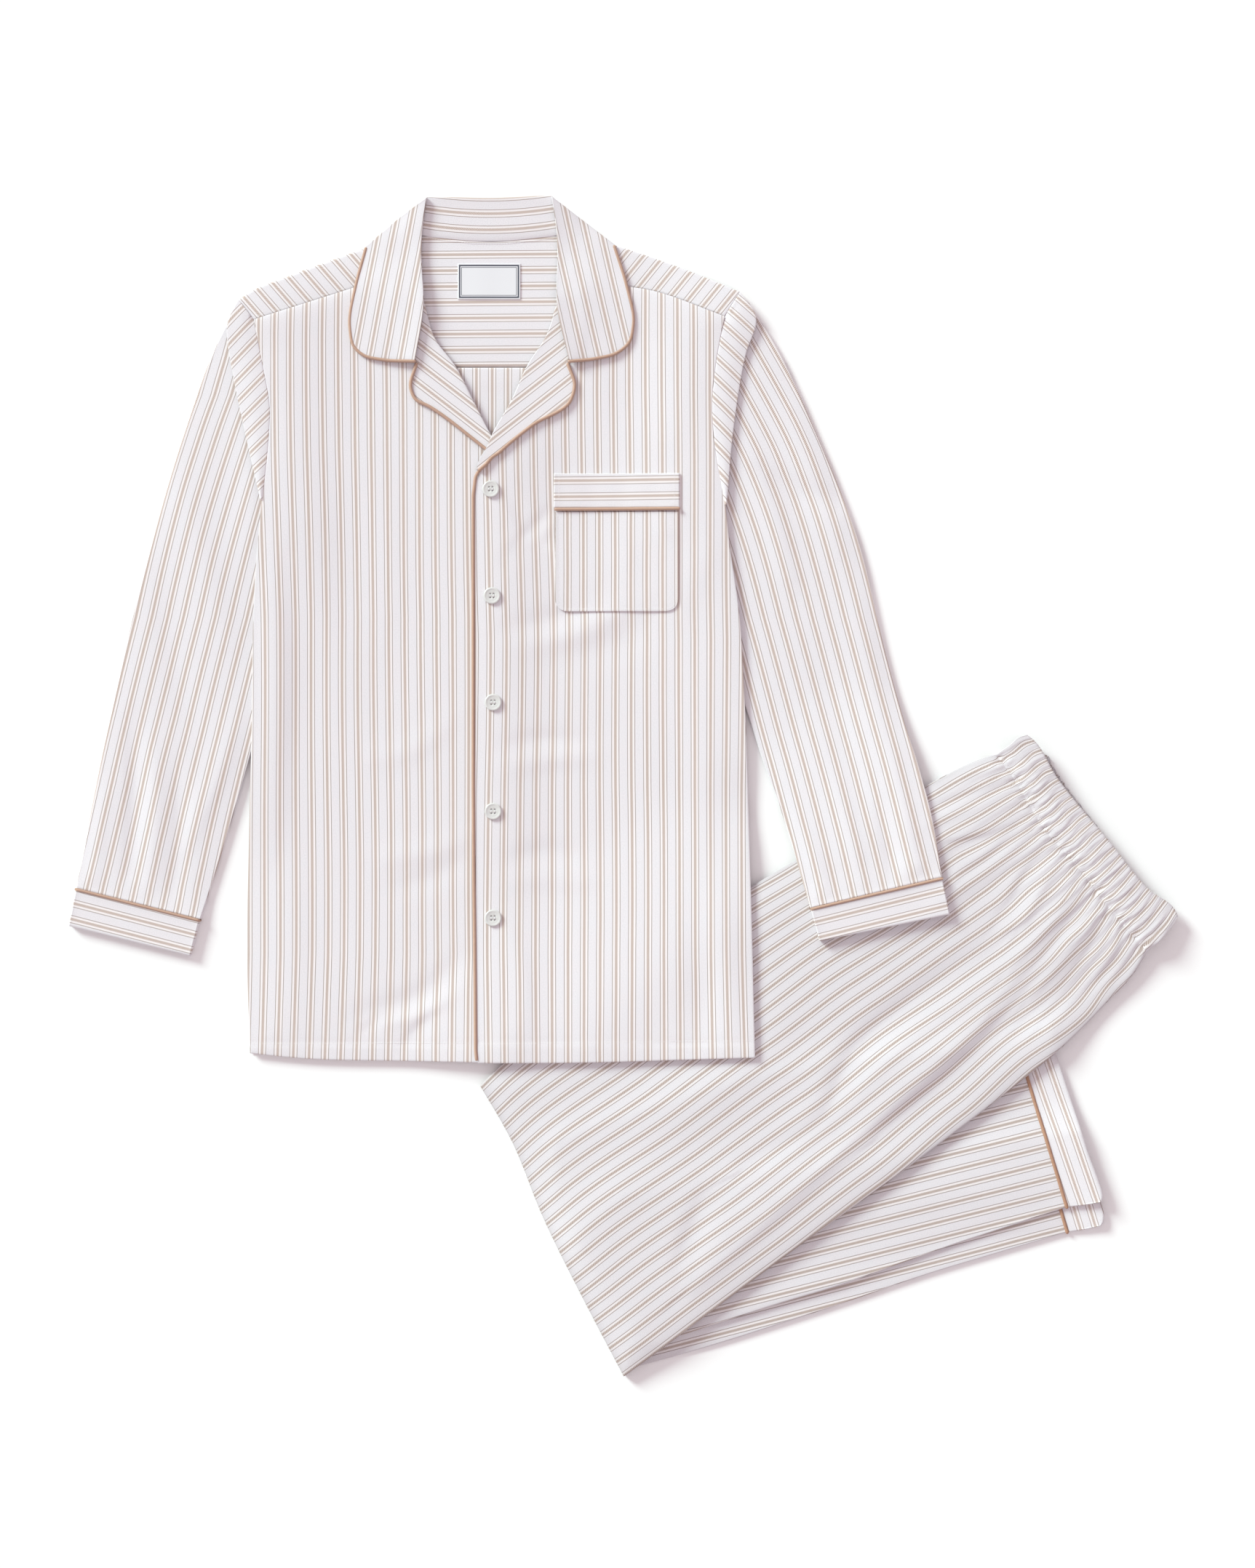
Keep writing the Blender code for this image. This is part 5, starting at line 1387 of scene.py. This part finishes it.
lapel("right", ROLL_RIGHT,
      ((-48, 376), (-42, 356), (-45, 344), (-81, 319), (-103.9, 300.3), (-109.7, 295.1),
       (-116.8, 290), (-121.2, 284.9), (-127, 279.8)),
      ((-36, 440), (-38, 400)), stripes(38, (-78.8, 337.9)))


# ----------------------------------------------------------------------------- chest pocket
# A patch pocket matched to the stripe of the front, with a band cut across the stripe, piping
# in the seam between them, and a row of edge stitches all round.

POCKET = (-61, 244, 49, 155)
POCKET_BAND = (-62, 278, 50, 247.5)
CORNER = 11             # radius of the lower corners
left, high, right, low = POCKET


def corner(first, last, inset=0.0):
    """A lower corner of the pocket, round, between two compass angles."""
    a = np.radians(np.linspace(first, last, 9))
    x = left + CORNER if first < 270 else right - CORNER
    radius = CORNER - inset
    return np.stack([x + radius * np.cos(a), low + CORNER + radius * np.sin(a)], -1)


bag = patch(np.vstack([(left, high), corner(180, 225)]),
            np.vstack([(right, high), corner(360, 315)]), None,
            np.vstack([corner(225, 269.9), corner(270.1, 315)]), pitch=3)
band_left, band_high, band_right, band_low = POCKET_BAND
band = patch(np.array([(band_left, band_high), (band_left, band_low)], float),
             np.array([(band_right, band_high), (band_right, band_low)], float), pitch=2.8)
under = bed.rest(bag, band, soft=10)
POCKET_FOLDS = (
    (((-6, 236), (2, 200), (-2, 168)), 12, 16, 0.7),
    (((30, 238), (36, 228), (44, 222)), 4, 6, 0.6),
    (((-52, 226), (-44, 196), (-46, 172)), 10, 8, -0.3),
)
base = under(bag)
bag_edge = np.min([bag[..., 0] - left, right - bag[..., 0], bag[..., 1] - low], axis=0)
lift, source = creases(bag, POCKET_FOLDS)
bag_top = base + WALL + lift - 0.2 * np.exp(-((bag_edge - 3.2) / 1.5) ** 2)
pocket = wall("pocket", bag, base, bag_top, stripes(90, (-7.5, 201.3), 14.15)(source), striped,
              much=0.2)
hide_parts("pocket")
bed.press(bag, bag_top)
base = under(band)
band_top = base + WALL + 0.5 + 0.25 * np.sin(band[..., 0] / 9.0) ** 2
top_band = wall("pocket_band", band, base, band_top, stripes(0.5, (-4.6, 257.6), 14.3)(band),
                striped, much=0.2)
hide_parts("pocket_band")
bed.press(band, band_top)
line = spaced(np.array([(left + 0.6, 246.0), (right + 0.2, 246.4)]), np.linspace(0, 1, 60))
trim = round_trim("pocket_piping", np.column_stack([line, bed.read(line) + 0.1]), PIPE_RADIUS,
                  tan_trim)
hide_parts("pocket_piping")
INSET = 2.2             # of the edge stitches
row = np.vstack([(left + INSET, high - 3), corner(180, 269.9, INSET), corner(270.1, 360, INSET),
                 (right - INSET, high - 3)])
stitches("pocket_stitches", row, CLOSE)
for name, x in (("left", band_left + 4.6), ("right", band_right - 4.6)):
    row = np.array([(x, band_high - 1.5), (x, band_low + 1.5)])
    stitches(f"pocket_band_stitches_{name}", row, CLOSE)


# ------------------------------------------------------------------------------------ collar
# Stand and leaves are cut in one with the stripe along the collar. Behind the neck it is
# folded in two, and at the sides it rolls over onto the fronts as two leaves with piped edges.

COLLAR_WALL = 2.0       # two plies
NECK_SEAM = ((-192, 493), (-179, 491), (-118, 486), (-60, 491), (-44, 493))
neck_seam = through(*NECK_SEAM)
stand = patch(through((-192, 493), (-190, 507), (-181, 520)),
              through((-44, 493), (-46, 507), (-57, 520)), neck_seam,
              np.vstack([(-181, 520), through((-174, 526), (-146, 525), (-118, 524.5),
                                              (-92, 525.5), (-65, 527)), (-57, 520)]), pitch=3)
base = bed.rest(stand, soft=8)(stand)
lift = 1.2 * np.clip((stand[..., 1] - 500) / 24, 0, 1) ** 2
full = 1 - np.exp(-from_line(stand, neck_seam) / 5)
top = np.maximum(base, 1.6) + 0.3 + (COLLAR_WALL - 0.3) * full + lift
base = np.where(stand[..., 1] > 499, 0.0, base)       # the fall behind the neck lies on the floor
stand_cut = stripes(1.5, (-115.2, 512.3), 14.3)(stand)
beyond = stand[..., 0] + 118
stand_cut[..., 0] += 0.00135 * beyond ** 2 - 0.02 * beyond - 1.95      # it sags behind the neck
piece = wall("collar_stand", stand, base, top, stand_cut, striped, much=0.15, sewn=[neck_seam])
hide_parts("collar")
bed.press(stand, top)
seam = spaced(through((-176, 488.6), (-118, 483.6), (-62, 488.6)), np.linspace(0, 1, 40))
stitches("neck_stitches", seam, CLOSE, 0.34)

LEAF_CORNER = 3         # which point of a leaf's edge is its corner
LEAVES = {
    "left": dict(roll=((-175, 524), (-179.5, 491), (-180, 478), (-178, 426), (-186, 377)),
                 fold=((-175, 524), (-198, 508), (-231, 480)),
                 edge=((-231, 480), (-240, 445), (-245, 407), (-241, 390), (-232, 382),
                       (-216, 378), (-186, 376)), stripe=(79, (-216.8, 428.8), 13.6)),
    "right": dict(roll=((-64, 525), (-59.5, 491), (-59, 478), (-59, 426), (-48, 377)),
                  fold=((-64, 525), (-40, 507), (-7, 482)),
                  edge=((-7, 482), (4, 446), (10, 410), (6, 394), (-4, 385), (-24, 379),
                        (-48, 376)), stripe=(102.7, (-18.7, 429.2), 13.6)),
}
for side, lines in LEAVES.items():
    sign = 1 if side == "left" else -1
    outline = through(*lines["edge"])
    inset = beside(outline, sign * PIPING * 0.7)
    turn = int(np.argmin(np.linalg.norm(outline - lines["edge"][LEAF_CORNER], axis=1)))
    roll = through(*lines["roll"])
    leaf = patch(roll, inset[:turn + 1], through(*lines["fold"]),
                 np.vstack([roll[-1:], inset[turn:][::-1]]), pitch=2.6)
    base = evened(bed.rest(leaf, soft=14)(leaf))
    near = from_line(leaf, roll)
    lift = 2.6 * np.exp(-(near / 16) ** 1.3) + 0.7 * np.exp(-((near - 34) / 16) ** 2)
    base = base + lift
    top = base + COLLAR_WALL
    base[:, 0] -= 1.6 * np.exp(-near[:, 0])
    base[0] = 0.0                                      # the fold over the shoulder
    piece = wall(f"collar_leaf_{side}", leaf, base, top,
                 wavering(stripes(*lines["stripe"])(leaf), 0.5), striped, roundness=0.7)
    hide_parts("collar")
    bed.press(leaf, top)
    shares = np.linspace(0.005, 1, 120)
    line = spaced(beside(outline, sign * PIPING / 2), shares)
    on_leaf = spaced(beside(outline, sign * (PIPING + 2)), shares)
    heights = running_mean(bed.read(on_leaf), 5)
    trim = round_trim(f"collar_piping_{side}", np.column_stack([line, heights - 0.9]),
                      PIPE_RADIUS, tan_trim)
    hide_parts(f"collar_piping_{side}")


# ------------------------------------------------------------- floor, light and the camera
# A plain white paper floor, which isn't part of the set, under one broad soft light from the
# upper left and a pale sky. The camera hangs straight above.

SPAN = 1.1213                       # metres of floor across the frame
FRAME_WIDTH, FRAME_HEIGHT = 1725, 2156
SKY, SUN = (1.0, 0.89, 0.925, 1), (0.83, 1.0, 0.945)
floor_mesh = bpy.data.meshes.new("floor")
floor_mesh.from_pydata([(-4, -4, 0), (4, -4, 0), (4, 4, 0), (-4, 4, 0)], [], [(0, 1, 2, 3)])
floor = bpy.data.objects.new("floor", floor_mesh)
bpy.context.collection.objects.link(floor)
floor.location.z = -0.0004
paper, shader, start = finish_of("white_paper", 0.9, gloss=0.1)
grain = start.node("TexCoord", None, None, 3).noise(900.0, 2.0)
grain.mixed(linear(253, 252, 252), linear(255, 255, 255)).feeds(shader, "Base Color")
floor_mesh.materials.append(paper)

scene = bpy.context.scene
scene.view_settings.view_transform = "Standard"
world = bpy.data.worlds.new("studio")
world.use_nodes = True
sky = world.node_tree.nodes["Background"].inputs
sky["Color"].default_value, sky["Strength"].default_value = SKY, 0.68
scene.world = world
light = bpy.data.lights.new("window", "SUN")
light.energy, light.angle, light.color = 3.65, math.radians(20), SUN
lamp = bpy.data.objects.new("window", light)
lamp.rotation_euler = (math.radians(-67), 0, math.radians(48))
bpy.context.collection.objects.link(lamp)

camera = bpy.data.cameras.new("camera")
camera.lens, camera.sensor_width = 60, 36
view = bpy.data.objects.new("camera", camera)
bpy.context.collection.objects.link(view)
frame_long = SPAN * FRAME_HEIGHT / FRAME_WIDTH
view.location = (0.0036, 0.0013, camera.lens / camera.sensor_width * frame_long)
scene.camera = view
